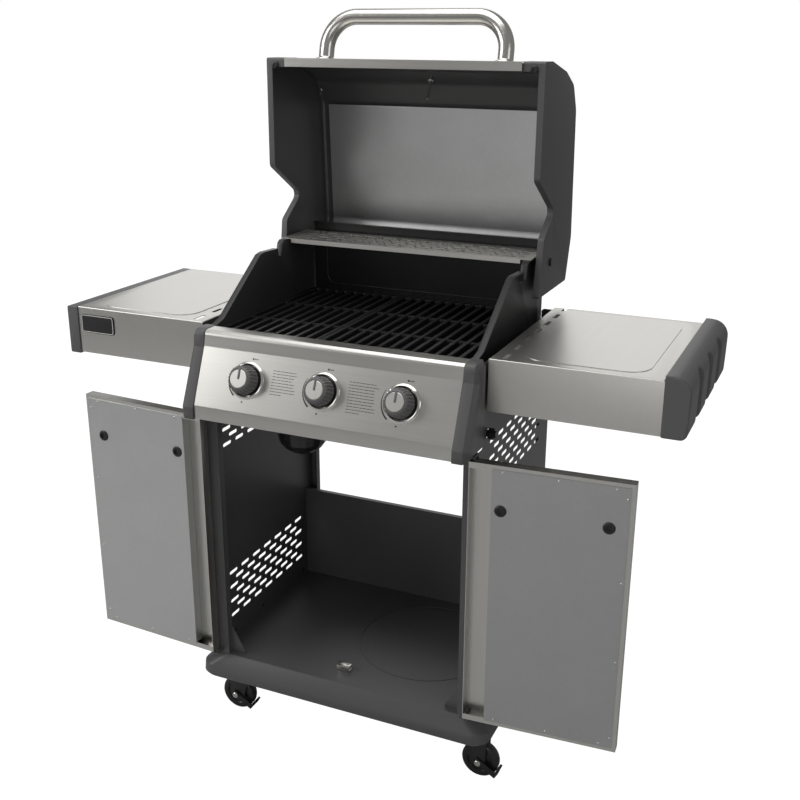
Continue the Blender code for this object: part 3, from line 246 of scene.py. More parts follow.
def make_finishes(colours):
    steel, grey = tuple(colours.stainless), tuple(colours.grey_paint)
    plastic, black = tuple(colours.grey_plastic), tuple(colours.black)
    FINISHES.update({
        "stainless_x": brushed("brushed_stainless_across", "X", steel, 0.30),
        "stainless_y": brushed("brushed_stainless_deep", "Y", steel, 0.33),
        "stainless_z": brushed("brushed_stainless_upright", "Z", steel, 0.30),
        "rack": brushed("rack_stainless", "X", shade(steel, 1.20), 0.40),
        "tube": ground_tube(shade(steel, 0.98)),
        "galvanised": galvanised("galvanised_sheet", tuple(colours.galvanised)),
        # Painted light: the two door linings are copies of the zinc sheet. The left one is painted lighter and the
        # right one darker, for the light that falls from the left.
        "galvanised_left": galvanised("left_lining_sheet_painted_light", shade(colours.galvanised, 1.50)),
        "galvanised_right": galvanised("right_lining_sheet_painted_shade", shade(colours.galvanised, 1.18)),
        "shield": galvanised("lid_shield_sheet", shade(colours.galvanised, 1.75), 0.34),
        "grey_paint": coated("grey_powder_coat", grey, 0.42, 900.0, 0.00010),
        "cast_grey": coated("grey_cast_coat", grey, 0.46, 700.0, 0.00016),
        "cheek_grey": coated("firebox_cheek_coat", shade(grey, 0.38), 0.40, 800.0, 0.00010),
        "lid_lining": coated("lid_lining_coat", shade(grey, 0.95), 0.36, 800.0, 0.00008),
        "grey_plastic": coated("grey_moulded_plastic", plastic, 0.50, 1100.0, 0.00012),
        "knob_grey": coated("knob_plastic", shade(plastic, 1.25), 0.40, 1300.0, 0.00006),
        "enamel": coated("black_enamel", black, 0.30, 650.0, 0.00010),
        "cast_iron": coated("enamelled_cast_iron", shade(black, 1.3), 0.36, 420.0, 0.00022, 0.25),
        "black_plastic": coated("black_moulded_plastic", shade(black, 1.1), 0.38, 1000.0, 0.00010),
        "tread": coated("caster_tread", shade(black, 1.0), 0.30, 900.0, 0.00008),
        "gloss_black": coated("badge_lacquer", shade(black, 0.6), 0.42, 500.0, 0.00002),
        "ink": coated("printed_ink", shade(black, 1.6), 0.45, 900.0, 0.00001),
        "chrome": bright_plate("bright_trim", shade(steel, 1.22), 0.14),
        "knob_disc": brushed("knob_disc_aluminium", "X", shade(steel, 0.95), 0.36, 0.04, 700.0),
        "zinc": bright_plate("zinc_fixings", shade(steel, 1.05), 0.26),
        "brass": bright_plate("brass_fitting", (0.62, 0.44, 0.17), 0.25),
        "dial": coated("dial_face", (0.78, 0.78, 0.76), 0.35, 600.0, 0.00002, 0.04),
    })


# ------------------------------------------------------------------ handling
def alone(thing):
    """Makes one object the only selected one, and the active one."""
    bpy.ops.object.select_all(action="DESELECT")
    thing.select_set(True)
    bpy.context.view_layer.objects.active = thing
    return thing


def fresh(name):
    thing = bpy.context.object
    thing.name = thing.data.name = name
    return thing


def settle(thing):
    """Moves an object's place into its mesh."""
    alone(thing)
    bpy.ops.object.transform_apply(location=True, rotation=True, scale=True)
    return thing


def smooth(thing, degrees=32):
    alone(thing)
    bpy.ops.object.shade_smooth_by_angle(angle=math.radians(degrees))
    return thing


def finish_piece(thing, body, finish, *stands_for, angle=32):
    """Gives a piece its finish, its body and the nodes that it stands for."""
    settle(thing)
    smooth(thing, angle)
    thing.data.materials.clear()
    thing.data.materials.append(FINISHES[finish])
    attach(thing, body)
    if stands_for:
        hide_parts(*stands_for)
    return thing


def dress(finish, *nodes):
    """Gives CAD nodes that stay in view a finish."""
    for node in nodes:
        mesh = NODES[node].data
        mesh.materials.clear()
        mesh.materials.append(FINISHES[finish])


def round_edges(thing, width, segments=2, degrees=40, by_weight=False):
    alone(thing)
    bpy.ops.object.modifier_add(type="BEVEL")
    bevel = thing.modifiers[-1]
    bevel.width, bevel.segments = width, segments
    bevel.limit_method = "WEIGHT" if by_weight else "ANGLE"
    bevel.angle_limit = math.radians(degrees)
    bpy.ops.object.modifier_apply(modifier=bevel.name)
    return thing


def weigh_edges(thing, test):
    """Marks for rounding the edges whose two ends and face angle pass a test."""
    mesh = thing.data
    shape = bmesh.new()
    shape.from_mesh(mesh)
    weights = shape.edges.layers.float.get("bevel_weight_edge") or shape.edges.layers.float.new("bevel_weight_edge")
    for edge in shape.edges:
        if len(edge.link_faces) == 2:
            a, b = (vert.co for vert in edge.verts)
            edge[weights] = 1.0 if test(a, b, math.degrees(edge.calc_face_angle(0.0))) else 0.0
    shape.to_mesh(mesh)
    shape.free()


def copied(node, name):
    """A merged copy of a CAD node, with its flat faces whole again."""
    alone(NODES[node])
    bpy.ops.object.duplicate()
    thing = fresh(name)
    thing.parent = None
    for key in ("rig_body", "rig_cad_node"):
        del thing[key]
    if thing.data.has_custom_normals:
        bpy.ops.mesh.customdata_custom_splitnormals_clear()
    bpy.ops.object.mode_set(mode="EDIT")
    bpy.ops.mesh.select_all(action="SELECT")
    bpy.ops.mesh.remove_doubles(threshold=0.00002)
    bpy.ops.mesh.dissolve_limited(angle_limit=math.radians(0.4))
    bpy.ops.object.mode_set(mode="OBJECT")
    return thing


def extrude(step):
    bpy.ops.mesh.extrude_region_move(TRANSFORM_OT_translate={"value": tuple(step)})


def turned(name, profile, sides=48):
    """A round piece about +Z, from (radius, height) pairs; a zero radius closes it on the axis."""
    radius, height = max(profile[0][0], POLE), profile[0][1]
    bpy.ops.object.select_all(action="DESELECT")
    bpy.ops.mesh.primitive_circle_add(vertices=sides, radius=radius, location=(0, 0, height))
    thing = settle(fresh(name))
    bpy.ops.object.mode_set(mode="EDIT")
    bpy.ops.mesh.select_all(action="SELECT")
    for wide, high in profile[1:]:
        wide = max(wide, POLE)
        extrude((0, 0, high - height))
        bpy.ops.transform.resize(value=(wide / radius, wide / radius, 1), center_override=(0, 0, high))
        radius, height = wide, high
    bpy.ops.mesh.select_all(action="SELECT")
    bpy.ops.mesh.remove_doubles(threshold=POLE * 3)
    bpy.ops.mesh.normals_make_consistent(inside=False)
    bpy.ops.object.mode_set(mode="OBJECT")
    return thing


def pipe(name, corners, radius, bend, sides=32, steps=10):
    """A tube along straight runs, bent round at each corner."""
    corners = [Vector(corner) for corner in corners]
    first = (corners[1] - corners[0]).normalized()
    bpy.ops.object.select_all(action="DESELECT")
    bpy.ops.mesh.primitive_circle_add(vertices=sides, radius=radius, fill_type="NGON", location=corners[0],
                                      rotation=first.to_track_quat("Z", "Y").to_euler())
    thing = settle(fresh(name))
    bpy.ops.object.mode_set(mode="EDIT")
    bpy.ops.mesh.select_all(action="SELECT")
    here = corners[0]
    for before, corner, after in zip(corners, corners[1:], corners[2:]):
        into, out = (corner - before).normalized(), (after - corner).normalized()
        angle, axis = into.angle(out), into.cross(out).normalized()
        start = corner - into * bend * math.tan(angle / 2)
        extrude(start - here)
        centre = start + axis.cross(into) * bend
        bpy.ops.mesh.spin(steps=steps, angle=-angle, center=centre, axis=axis)
        here = corner + out * bend * math.tan(angle / 2)
    extrude(corners[-1] - here)
    bpy.ops.mesh.select_all(action="SELECT")
    bpy.ops.mesh.remove_doubles(threshold=0.00001)
    bpy.ops.mesh.normals_make_consistent(inside=False)
    bpy.ops.object.mode_set(mode="OBJECT")
    return thing


def slab(name, low, high):
    """A box between two corners."""
    low, high = Vector(low), Vector(high)
    bpy.ops.object.select_all(action="DESELECT")
    bpy.ops.mesh.primitive_cube_add(size=1, location=(low + high) / 2)
    thing = fresh(name)
    thing.scale = high - low
    return settle(thing)


def joined(name, things):
    bpy.ops.object.select_all(action="DESELECT")
    for thing in things:
        thing.select_set(True)
    bpy.context.view_layer.objects.active = things[0]
    if len(things) > 1:
        bpy.ops.object.join()
    return settle(fresh(name))


def repeated(name, model, places):
    """Copies a model to each matrix, as one piece."""
    copies = []
    for place in places:
        copy = model.copy()
        copy.data = model.data.copy()
        copy.matrix_world = place
        bpy.context.scene.collection.objects.link(copy)
        copies.append(copy)
    bpy.data.objects.remove(model)
    return joined(name, copies)


def facing(point, direction, turn=0.0):
    aim = Vector(direction).to_track_quat("Z", "Y").to_matrix().to_4x4()
    return Matrix.Translation(Vector(point)) @ aim @ Matrix.Rotation(turn, 4, "Z")


def carve(thing, tool):
    """Cuts a tool out of a piece, and removes the tool."""
    alone(thing)
    bpy.ops.object.modifier_add(type="BOOLEAN")
    cut = thing.modifiers[-1]
    cut.operation, cut.solver, cut.object = "DIFFERENCE", "EXACT", tool
    bpy.ops.object.modifier_apply(modifier=cut.name)
    bpy.data.objects.remove(tool)
    return thing


def dome(name, radius, height, sides=20):
    """A low round head, such as a rivet's or a screw's."""
    steps = 5
    curve = [(radius * math.cos(math.pi / 2 * k / steps), height * math.sin(math.pi / 2 * k / steps))
             for k in range(steps + 1)]
    return turned(name, [(radius * 0.98, -height * 0.4), *curve[:-1], (0, height)], sides)


def closed_profile(profile):
    """A ring's profile, run back to its first point."""
    return [*profile, profile[0]]


def handle_foot():
    """The middle of the lid handle's two feet on the lid, and the lid's outward direction there."""
    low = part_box("lid_handle")[0]
    return Vector((CENTRE_X, low.y + 0.0220, low.z + 0.0046)), Vector((0, 0.213, 0.977)).normalized()


def gauge_foot():
    """The foot of the thermometer on the lid, and the lid's outward direction there."""
    gauge = NODES["thermometer"]
    points = [gauge.matrix_world @ vert.co for vert in gauge.data.vertices]
    centre = sum(points, Vector()) / len(points)
    tip = max(points, key=lambda point: (point - centre).length)
    ring = [point for point in points if (point - tip).length < 0.007]
    normal = centre - sum(ring, Vector()) / len(ring)
    normal = Vector((0, normal.y, normal.z)).normalized()
    reach = max(point.dot(normal) for point in points)
    on_axis = Vector((CENTRE_X, centre.y, centre.z))
    return on_axis + normal * (reach - on_axis.dot(normal) - 0.0145), normal


def knob_spot(name):
    """Where a knob's axis meets the sloping panel."""
    return Vector(JOINTS[f"{name}_knob_turn"]["pos_m"])


def swing_of(hand):
    """The turn that takes a shut door to where it stands at rest."""
    joint = JOINTS[f"{hand}_door_hinge"]
    pin = Vector(joint["pos_m"])
    limit = math.radians(max(joint["range_deg"], key=abs))
    turn = Matrix.Rotation(limit, 4, Vector(joint["axis"])).inverted()
    return Matrix.Translation(pin) @ turn @ Matrix.Translation(-pin)


def shut_box(node, swing):
    """A door node's corners with the door shut."""
    back = swing.inverted() @ NODES[node].matrix_world
    points = [back @ vert.co for vert in NODES[node].data.vertices]
    return (Vector([min(point[k] for point in points) for k in range(3)]),
            Vector([max(point[k] for point in points) for k in range(3)]))


def well_inside(node, point, margin=0.012):
    """Whether a point lies well within a node's outline in Y and Z."""
    low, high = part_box(node)
    return low.y + margin < point.y < high.y - margin and low.z + margin < point.z < high.z - margin


# --------------------------------------------------------------- properties
def length(name, default, text):
    return bpy.props.FloatProperty(name=name, description=text, default=default, min=0.0, unit="LENGTH", precision=4)


def tint(name, default, text):
    return bpy.props.FloatVectorProperty(name=name, description=text, default=default, size=3, min=0.0, max=1.0,
                                         subtype="COLOR")


class GrillSizes(bpy.types.PropertyGroup):
    """Sizes of the small pieces and rounded edges"""
    cast_round: length("Cast edge", 0.0060, "Rounding of the lid's cast end caps")
    base_round: length("Base edge", 0.0050, "Rounding of the base's edges")
    rivet: length("Rivet", 0.0023, "Radius of a door rivet's head")
    bolt: length("Bolt", 0.0070, "Radius of a lid bolt's head")
    plug: length("Plug", 0.0105, "Radius of a door handle's screw plug")
    bezel: length("Bezel", 0.0345, "Outer radius of a knob's bezel")
    knob: length("Knob", 0.0262, "Radius of a knob")
    flutes: bpy.props.IntProperty(name="Flutes", description="Grips around a knob", default=24, min=8, max=60)


class GrillColours(bpy.types.PropertyGroup):
    """Base colours of the finishes"""
    stainless: tint("Stainless", (0.55, 0.54, 0.51), "Brushed stainless sheet")
    galvanised: tint("Galvanised", (0.36, 0.365, 0.36), "Zinc-coated sheet")
    grey_paint: tint("Grey paint", (0.072, 0.070, 0.071), "Powder coat of the cart and lid caps")
    grey_plastic: tint("Grey plastic", (0.085, 0.083, 0.083), "Shelf ends and knobs")
    black: tint("Black", (0.010, 0.010, 0.0105), "Enamel, cast iron and casters")
    floor: tint("Floor", (0.48, 0.48, 0.48), "Studio floor, before its glow")


# ---------------------------------------------------------------- operators
class GRILL_OT_stage(bpy.types.Operator):
    """Adds the camera, the pale floor and the soft studio lights"""
    bl_idname = "grill.stage"
    bl_label = "Stage"

    def execute(self, context):
        context.scene.view_settings.view_transform = "Standard"
        eye = bpy.data.cameras.new("camera")
        eye.lens, eye.sensor_width = 48.33, 36.0
        camera = bpy.data.objects.new("camera", eye)
        context.scene.collection.objects.link(camera)
        turn = (Matrix.Rotation(math.radians(23.904), 4, "Z") @ Matrix.Rotation(math.radians(71.045), 4, "X")
                @ Matrix.Rotation(math.radians(0.262), 4, "Z"))
        camera.matrix_world = Matrix.Translation((0.8438 + CENTRE_X, -1.82685, 1.386)) @ turn
        context.scene.camera = camera
        self.floor(tuple(context.scene.grill_colours.floor))
        for softbox in SOFTBOXES:
            self.light(*softbox)
        self.sky()
        return {"FINISHED"}

    def floor(self, colour):
        """A matt floor that the camera sees almost as bright as the backdrop."""
        bpy.ops.object.select_all(action="DESELECT")
        bpy.ops.mesh.primitive_plane_add(size=60, location=(0, 0, -0.0004))
        floor = settle(fresh("floor"))
        matt = Surface("studio_floor", Base_Color=(*colour, 1), Roughness=0.8)
        seen = matt.add("ShaderNodeLightPath", output="Is Camera Ray") * 0.80
        glow = matt.add("ShaderNodeEmission", sockets={"Color": (1, 1, 1, 1), "Strength": 1.26})
        mixed = matt.add("ShaderNodeMixShader", sockets={0: seen, 2: glow})
        matt.tree.links.new(matt.shader.outputs[0], mixed.out.node.inputs[1])
        matt.tree.links.new(mixed.out, matt.tree.nodes["Material Output"].inputs["Surface"])
        floor.data.materials.append(matt.material)

    def light(self, name, place, target, size, power):
        lamp = bpy.data.lights.new(name, "AREA")
        lamp.shape, lamp.size, lamp.energy = "SQUARE", size, power
        holder = bpy.data.objects.new(name, lamp)
        bpy.context.scene.collection.objects.link(holder)
        aim = (Vector(target) - Vector(place)).to_track_quat("-Z", "Y")
        holder.matrix_world = Matrix.Translation(place) @ aim.to_matrix().to_4x4()

    def sky(self):
        """A white backdrop to the camera, and a dimmer one to the object."""
        world = bpy.data.worlds.new("studio")
        bpy.context.scene.world = world
        world.use_nodes = True
        tree = world.node_tree
        back = tree.nodes["Background"]
        path = tree.nodes.new("ShaderNodeLightPath")
        level = tree.nodes.new("ShaderNodeMapRange")
        tree.links.new(path.outputs["Is Camera Ray"], level.inputs["Value"])
        level.inputs["To Min"].default_value = 0.30
        level.inputs["To Max"].default_value = 1.0
        tree.links.new(level.outputs["Result"], back.inputs["Strength"])
        back.inputs["Color"].default_value = (1, 1, 1, 1)


class GRILL_OT_finishes(bpy.types.Operator):
    """Makes every finish, and gives the CAD nodes that stay in view theirs"""
    bl_idname = "grill.finishes"
    bl_label = "Finishes"

    def execute(self, context):
        make_finishes(context.scene.grill_colours)
        by_slot = {"stainless": "stainless_x", "polished_tube": "tube", "black_enamel": "enamel"}
        for row in frame["record"]["subparts"]:
            slot = row["material_slot"]
            dress(by_slot.get(slot, slot), row["node"])
        return {"FINISHED"}


class GRILL_OT_lid(bpy.types.Operator):
    """Models the lid's end caps, sheets, corner bolts and small screws"""
    bl_idname = "grill.lid"
    bl_label = "Lid"

    def execute(self, context):
        sizes = context.scene.grill_sizes
        for hand in HANDS:
            node = f"{hand}_lid_cap"
            low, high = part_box(node)
            outer = low.x if hand == "left" else high.x
            cap = copied(node, f"{hand}_lid_end")
            self.ease_bends(cap)
            weigh_edges(cap, lambda a, b, bend: abs(a.x - outer) < 1e-4 and abs(b.x - outer) < 1e-4 and bend > 60
                        and (a.yz - LID_PIVOT.yz).length > 0.02)
            round_edges(cap, sizes.cast_round, 4, by_weight=True)
            finish_piece(cap, "lid", "cast_grey", node, angle=40)
        for node, name, finish in (("lid_skin", "lid_outer_sheet", "stainless_x"),
                                   ("lid_inner_panel", "lid_lining_sheet", "lid_lining"),
                                   ("lid_heat_shield", "lid_shield", "shield"),
                                   ("lid_trim", "lid_rim_strip", "stainless_x")):
            sheet = copied(node, name)
            if node == "lid_skin":
                self.ease_bends(sheet)
            finish_piece(sheet, "lid", finish, node, angle=40)
        self.corner_bolts(sizes)
        self.inside_screws()
        return {"FINISHED"}

    def ease_bends(self, thing):
        """Rounds the lid's bends across its width."""
        weigh_edges(thing, lambda a, b, bend: abs(a.x - b.x) > 0.002 and (a.yz - b.yz).length < 1e-5
                    and 7 < bend < 62)
        round_edges(thing, 0.016, 4, by_weight=True)

    def corner_bolts(self, sizes):
        cap_low, cap_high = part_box("right_lid_cap")
        r = sizes.bolt
        head = turned("corner_bolts", [(0, -0.003), (r * 0.95, -0.003), (r, 0.0), (r, 0.0012), (r * 0.8, 0.0030),
                                       (r * 0.45, 0.0034), (r * 0.40, 0.0018), (0, 0.0018)], 32)
        places = [facing((CENTRE_X + side * (cap_high.x - CENTRE_X - 0.020), cap_low.y, cap_high.z - 0.013),
                         (0, -1, 0)) for side in (-1, 1)]
        finish_piece(repeated("lid_corner_bolts", head, places), "lid", "black_plastic")

    def inside_screws(self):
        low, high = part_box("lid_heat_shield")
        edge = low.x + 0.007
        spots = [(edge, low.y + 0.0225, high.z - 0.012), (edge, low.y + 0.0255, high.z - 0.170),
                 (CENTRE_X - 0.2620, low.y - 0.004, high.z + 0.030)]
        finish_piece(repeated("lid_screws", dome("screw", 0.0032, 0.0018),
                              [facing(spot, (0, -1, 0.05)) for spot in spots]), "lid", "zinc")
        plug = turned("plug", [(0, 0.0), (0.0100, 0.0), (0.0100, 0.0012), (0.0085, 0.0022), (0, 0.0022)], 28)
        foot = handle_foot()[0]
        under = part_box("lid_inner_panel")[1].z - 0.0022
        spots = [(CENTRE_X + side * HANDLE_HALF, foot.y, under) for side in (-1, 1)]
        finish_piece(repeated("handle_foot_plugs", plug, [facing(spot, (0, -0.12, -1)) for spot in spots]), "lid",
                     "black_plastic")


class GRILL_OT_lid_handle(bpy.types.Operator):
    """Bends the lid's tube handle and turns its two foot rings"""
    bl_idname = "grill.lid_handle"
    bl_label = "Lid handle"

    def execute(self, context):
        foot, normal = handle_foot()
        crest = foot + normal * HANDLE_RISE
        side = Vector((HANDLE_HALF, 0, 0))
        bar = pipe("lid_handle_tube", [foot - side + normal * 0.001, crest - side, crest + side,
                                       foot + side + normal * 0.001], HANDLE_RADIUS, 0.060, 40, 14)
        finish_piece(bar, "lid", "tube", "lid_handle")
        wide, inner = 0.0225, HANDLE_RADIUS - 0.0002
        ring = turned("ring", closed_profile([(inner, 0.0004), (wide - 0.0003, 0.0004), (wide, 0.0014),
                                              (wide - 0.0010, 0.0034), (0.0165, 0.0052), (0.0150, 0.0075),
                                              (inner, 0.0078)]), 48)
        finish_piece(repeated("lid_handle_rings", ring, [facing(foot + side * way, normal) for way in (-1, 1)]),
                     "lid", "tube")
        return {"FINISHED"}


class GRILL_OT_thermometer(bpy.types.Operator):
    """Turns the lid's thermometer with its ringed dial, needle and marks"""
    bl_idname = "grill.thermometer"
    bl_label = "Thermometer"

    def execute(self, context):
        foot, normal = gauge_foot()
        case = turned("gauge", [(0, -0.048), (0.0022, -0.048), (0.0025, -0.046), (0.0025, -0.0105), (0.0060, -0.0105),
                                (0.0060, -0.0065), (0.0033, -0.0065), (0.0033, 0.0035), (0.0295, 0.0045),
                                (0.0300, 0.0060), (0.0300, 0.0125), (0.0288, 0.0143), (0.0272, 0.0145),
                                (0.0262, 0.0130), (0.0262, 0.0118), (0, 0.0118)], 64)
        place = facing(foot, normal)
        case.matrix_world = place
        finish_piece(case, "lid", "chrome", "thermometer")
        face = turned("gauge_dial", [(0, 0.0119), (0.0261, 0.0119), (0.0261, 0.0122), (0, 0.0122)], 48)
        face.matrix_world = place
        finish_piece(face, "lid", "dial")
        marks = []
        for step in range(21):
            turn = math.radians(-135 + step * 13.5)
            long = 0.0050 if step % 5 == 0 else 0.0028
            mark = slab("mark", (-0.00035, 0.0240 - long, 0.0122), (0.00035, 0.0240, 0.01235))
            mark.matrix_world = place @ Matrix.Rotation(turn, 4, "Z")
            marks.append(settle(mark))
        needle = slab("needle", (-0.0006, -0.004, 0.0124), (0.0006, 0.0175, 0.0129))
        needle.matrix_world = place @ Matrix.Rotation(math.radians(-128), 4, "Z")
        marks.append(settle(needle))
        finish_piece(joined("gauge_marks", marks), "lid", "ink")
        return {"FINISHED"}


class GRILL_OT_cart(bpy.types.Operator):
    """Rounds the cart's base and vents, and adds its small screws"""
    bl_idname = "grill.cart"
    bl_label = "Cart"

    def execute(self, context):
        sizes = context.scene.grill_sizes
        low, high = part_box("base_tray")

        def on_rim(point):
            return (min(abs(point.x - low.x), abs(point.x - high.x)) < 1e-4
                    or min(abs(point.y - low.y), abs(point.y - high.y)) < 1e-4)

        base = copied("base_tray", "cart_base")
        weigh_edges(base, lambda a, b, bend: on_rim(a) and on_rim(b) and bend > 30
                    and (min(a.z, b.z) > high.z - 0.004 or abs(a.z - b.z) > 0.02 or max(a.z, b.z) < low.z + 1e-4))
        round_edges(base, sizes.base_round, 4, by_weight=True)
        finish_piece(base, "cart", "grey_paint", "base_tray", angle=35)
        for hand in HANDS:
            node = f"{hand}_side_panel"
            panel = copied(node, f"{hand}_cart_side")
            weigh_edges(panel, lambda a, b, bend: 0.0012 < abs(a.x - b.x) < 0.0022 and bend > 60
                        and (a.yz - b.yz).length < 1e-5 and well_inside(node, a))
            round_edges(panel, 0.0036, 4, by_weight=True)
            finish_piece(panel, "cart", "grey_paint", node, angle=35)
        self.screws()
        return {"FINISHED"}

    def screws(self):
        low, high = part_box("left_side_panel")
        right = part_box("right_side_panel")[1].x
        floor = low.z + 0.014
        spots = [((low.x + 0.0016, y, floor), (1, 0, 0)) for y in (low.y + 0.09, low.y + 0.20, high.y - 0.06)]
        spots += [((right - 0.0016, y, floor), (-1, 0, 0)) for y in (low.y + 0.09, low.y + 0.20, high.y - 0.06)]
        head = dome("head", 0.0045, 0.0022, 16)
        finish_piece(repeated("cart_screws", head, [facing(*spot) for spot in spots]), "cart", "black_plastic")
        catch_low, catch_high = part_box("door_catch")
        spot = ((catch_low.x + catch_high.x) / 2 + 0.006, (catch_low.y + catch_high.y) / 2, catch_high.z)
        finish_piece(repeated("catch_screw", dome("head", 0.0028, 0.0014, 16), [facing(spot, UP)]), "cart", "zinc")
        catch = copied("door_catch", "catch")
        round_edges(catch, 0.0006, 2, 50)
        finish_piece(catch, "cart", "zinc", "door_catch")


class GRILL_OT_casters(bpy.types.Operator):
    """Turns the four wheels and rounds their hoods, brake levers and axle bolts"""
    bl_idname = "grill.casters"
    bl_label = "Casters"

    def execute(self, context):
        for end in ("front", "rear"):
            for hand in HANDS:
                self.caster(f"{end}_{hand}")
        return {"FINISHED"}

    def caster(self, name):
        wheel = f"{name}_caster_wheel"
        low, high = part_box(wheel)
        joint = JOINTS[f"{name}_caster_roll"]
        axis = Vector(joint["axis"]).normalized()
        centre = (low + high) / 2
        radius = (high.z - low.z) / 2
        half = max(0.004, abs((high - low).dot(axis)) / 2)
        hub = radius * 0.62
        round_edge = 0.005
        bore = 0.0045
        profile = [(bore, -half), (hub * 0.5, -half), (hub * 0.55, -half + 0.002), (hub, -half + 0.003),
                   (hub + 0.002, -half + 0.0005), (radius - round_edge, -half), (radius - 0.0015, -half + 0.0020),
                   (radius, -half + round_edge)]
        profile += [(wide, -high_z) for wide, high_z in reversed(profile)]
        tyre = turned(f"{name}_wheel", closed_profile(profile), 64)
        tyre.matrix_world = facing(centre, axis)
        finish_piece(tyre, f"{name}_caster_wheel", "tread", wheel)
        fork_node = f"{name}_caster_fork"
        fork = copied(fork_node, f"{name}_hood")
        round_edges(fork, 0.0012, 3, 40)
        finish_piece(fork, fork_node, "tread", fork_node, angle=45)
        fork_low, fork_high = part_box(fork_node)
        reach = abs((fork_high - fork_low).dot(axis)) / 2
        front = axis if axis.y < 0 else -axis
        head = turned("axle_bolt", [(0, -0.002), (0.0062, -0.002), (0.0066, 0.0), (0.0064, 0.0022), (0.0050, 0.0034),
                                    (0, 0.0036)], 24)
        spots = [facing(centre + front * way * reach, front * way) for way in (1, -1)]
        finish_piece(repeated(f"{name}_axle_bolts", head, spots), fork_node, "zinc")
        if f"{name}_brake_lever" in NODES:
            lever = copied(f"{name}_brake_lever", f"{name}_brake_tab")
            round_edges(lever, 0.0012, 3, 40)
            finish_piece(lever, f"{name}_brake_lever", "tread", f"{name}_brake_lever", angle=45)


class GRILL_OT_doors(bpy.types.Operator):
    """Finishes the two doors, with their liners, rivets, screw plugs and bar handles"""
    bl_idname = "grill.doors"
    bl_label = "Doors"

    def execute(self, context):
        sizes = context.scene.grill_sizes
        for hand in HANDS:
            self.door(hand, sizes)
        return {"FINISHED"}

    def door(self, hand, sizes):
        body = f"{hand}_door"
        swing = swing_of(hand)
        skin = copied(f"{hand}_door_skin", f"{hand}_door_sheet")
        finish_piece(skin, body, "stainless_z", f"{hand}_door_skin", angle=30)
        liner = copied(f"{hand}_door_liner", f"{hand}_door_lining")
        # Each lining takes its own hand's zinc copy: painted lighter on the left door and darker on the right, for
        # the light from the left.
        finish_piece(liner, body, f"galvanised_{hand}", f"{hand}_door_liner", angle=30)
        low, high = shut_box(f"{hand}_door_liner", swing)
        level = high.y
        side = -1 if hand == "left" else 1
        near, far = (high.x, low.x) if side > 0 else (low.x, high.x)
        inward = -side
        edge = 0.0050
        free = far - inward * edge
        spots = [(free, low.z + 0.020 + k * (high.z - low.z - 0.040) / 3) for k in range(4)]
        spots += [(near + (free - near) * share, z) for z in (low.z + edge, high.z - edge)
                  for share in (0.08, 0.50, 0.92)]
        rivet = dome("rivet", sizes.rivet, 0.0011, 14)
        rivets = repeated(f"{hand}_door_rivets", rivet, [swing @ facing((x, level, z), (0, 1, 0)) for x, z in spots])
        finish_piece(rivets, body, "zinc")
        handle_low, handle_high = shut_box(f"{hand}_door_handle", swing)
        feet = (handle_low.x + 0.0125, handle_high.x - 0.0125)
        z = (handle_low.z + handle_high.z) / 2
        r = sizes.plug
        ring = turned("ring", closed_profile([(0.0042, 0.0), (r, 0.0), (r, 0.0012), (r - 0.0015, 0.0024),
                                              (r - 0.0045, 0.0026), (0.0060, 0.0012), (0.0042, 0.0010)]), 32)
        plugs = repeated(f"{hand}_door_plugs", ring, [swing @ facing((x, level, z), (0, 1, 0)) for x in feet])
        finish_piece(plugs, body, "gloss_black")
        screw = turned("screw", [(0, 0.0), (0.0042, 0.0), (0.0042, 0.0008), (0, 0.0008)], 20)
        screws = repeated(f"{hand}_door_handle_screws", screw, [swing @ facing((x, level - 0.001, z), (0, 1, 0))
                                                                for x in feet])
        finish_piece(screws, body, "gloss_black")
        self.bar(hand, body, swing, feet, z, handle_low, handle_high)

    def bar(self, hand, body, swing, feet, z, low, high):
        radius, bend = 0.0080, 0.016
        face, outer = high.y, low.y + radius
        bar = pipe(f"{hand}_door_bar", [(feet[0], face, z), (feet[0], outer, z), (feet[1], outer, z),
                                        (feet[1], face, z)], radius, bend, 28, 8)
        bar.matrix_world = swing
        finish_piece(bar, body, "tube", f"{hand}_door_handle")
        ring = turned("ring", closed_profile([(radius, 0.0), (0.0122, 0.0), (0.0125, 0.0010), (0.0118, 0.0030),
                                              (0.0095, 0.0038), (radius, 0.0040)]), 32)
        finish_piece(repeated(f"{hand}_door_bar_rings", ring, [swing @ facing((x, face, z), (0, -1, 0))
                                                               for x in feet]), body, "tube")


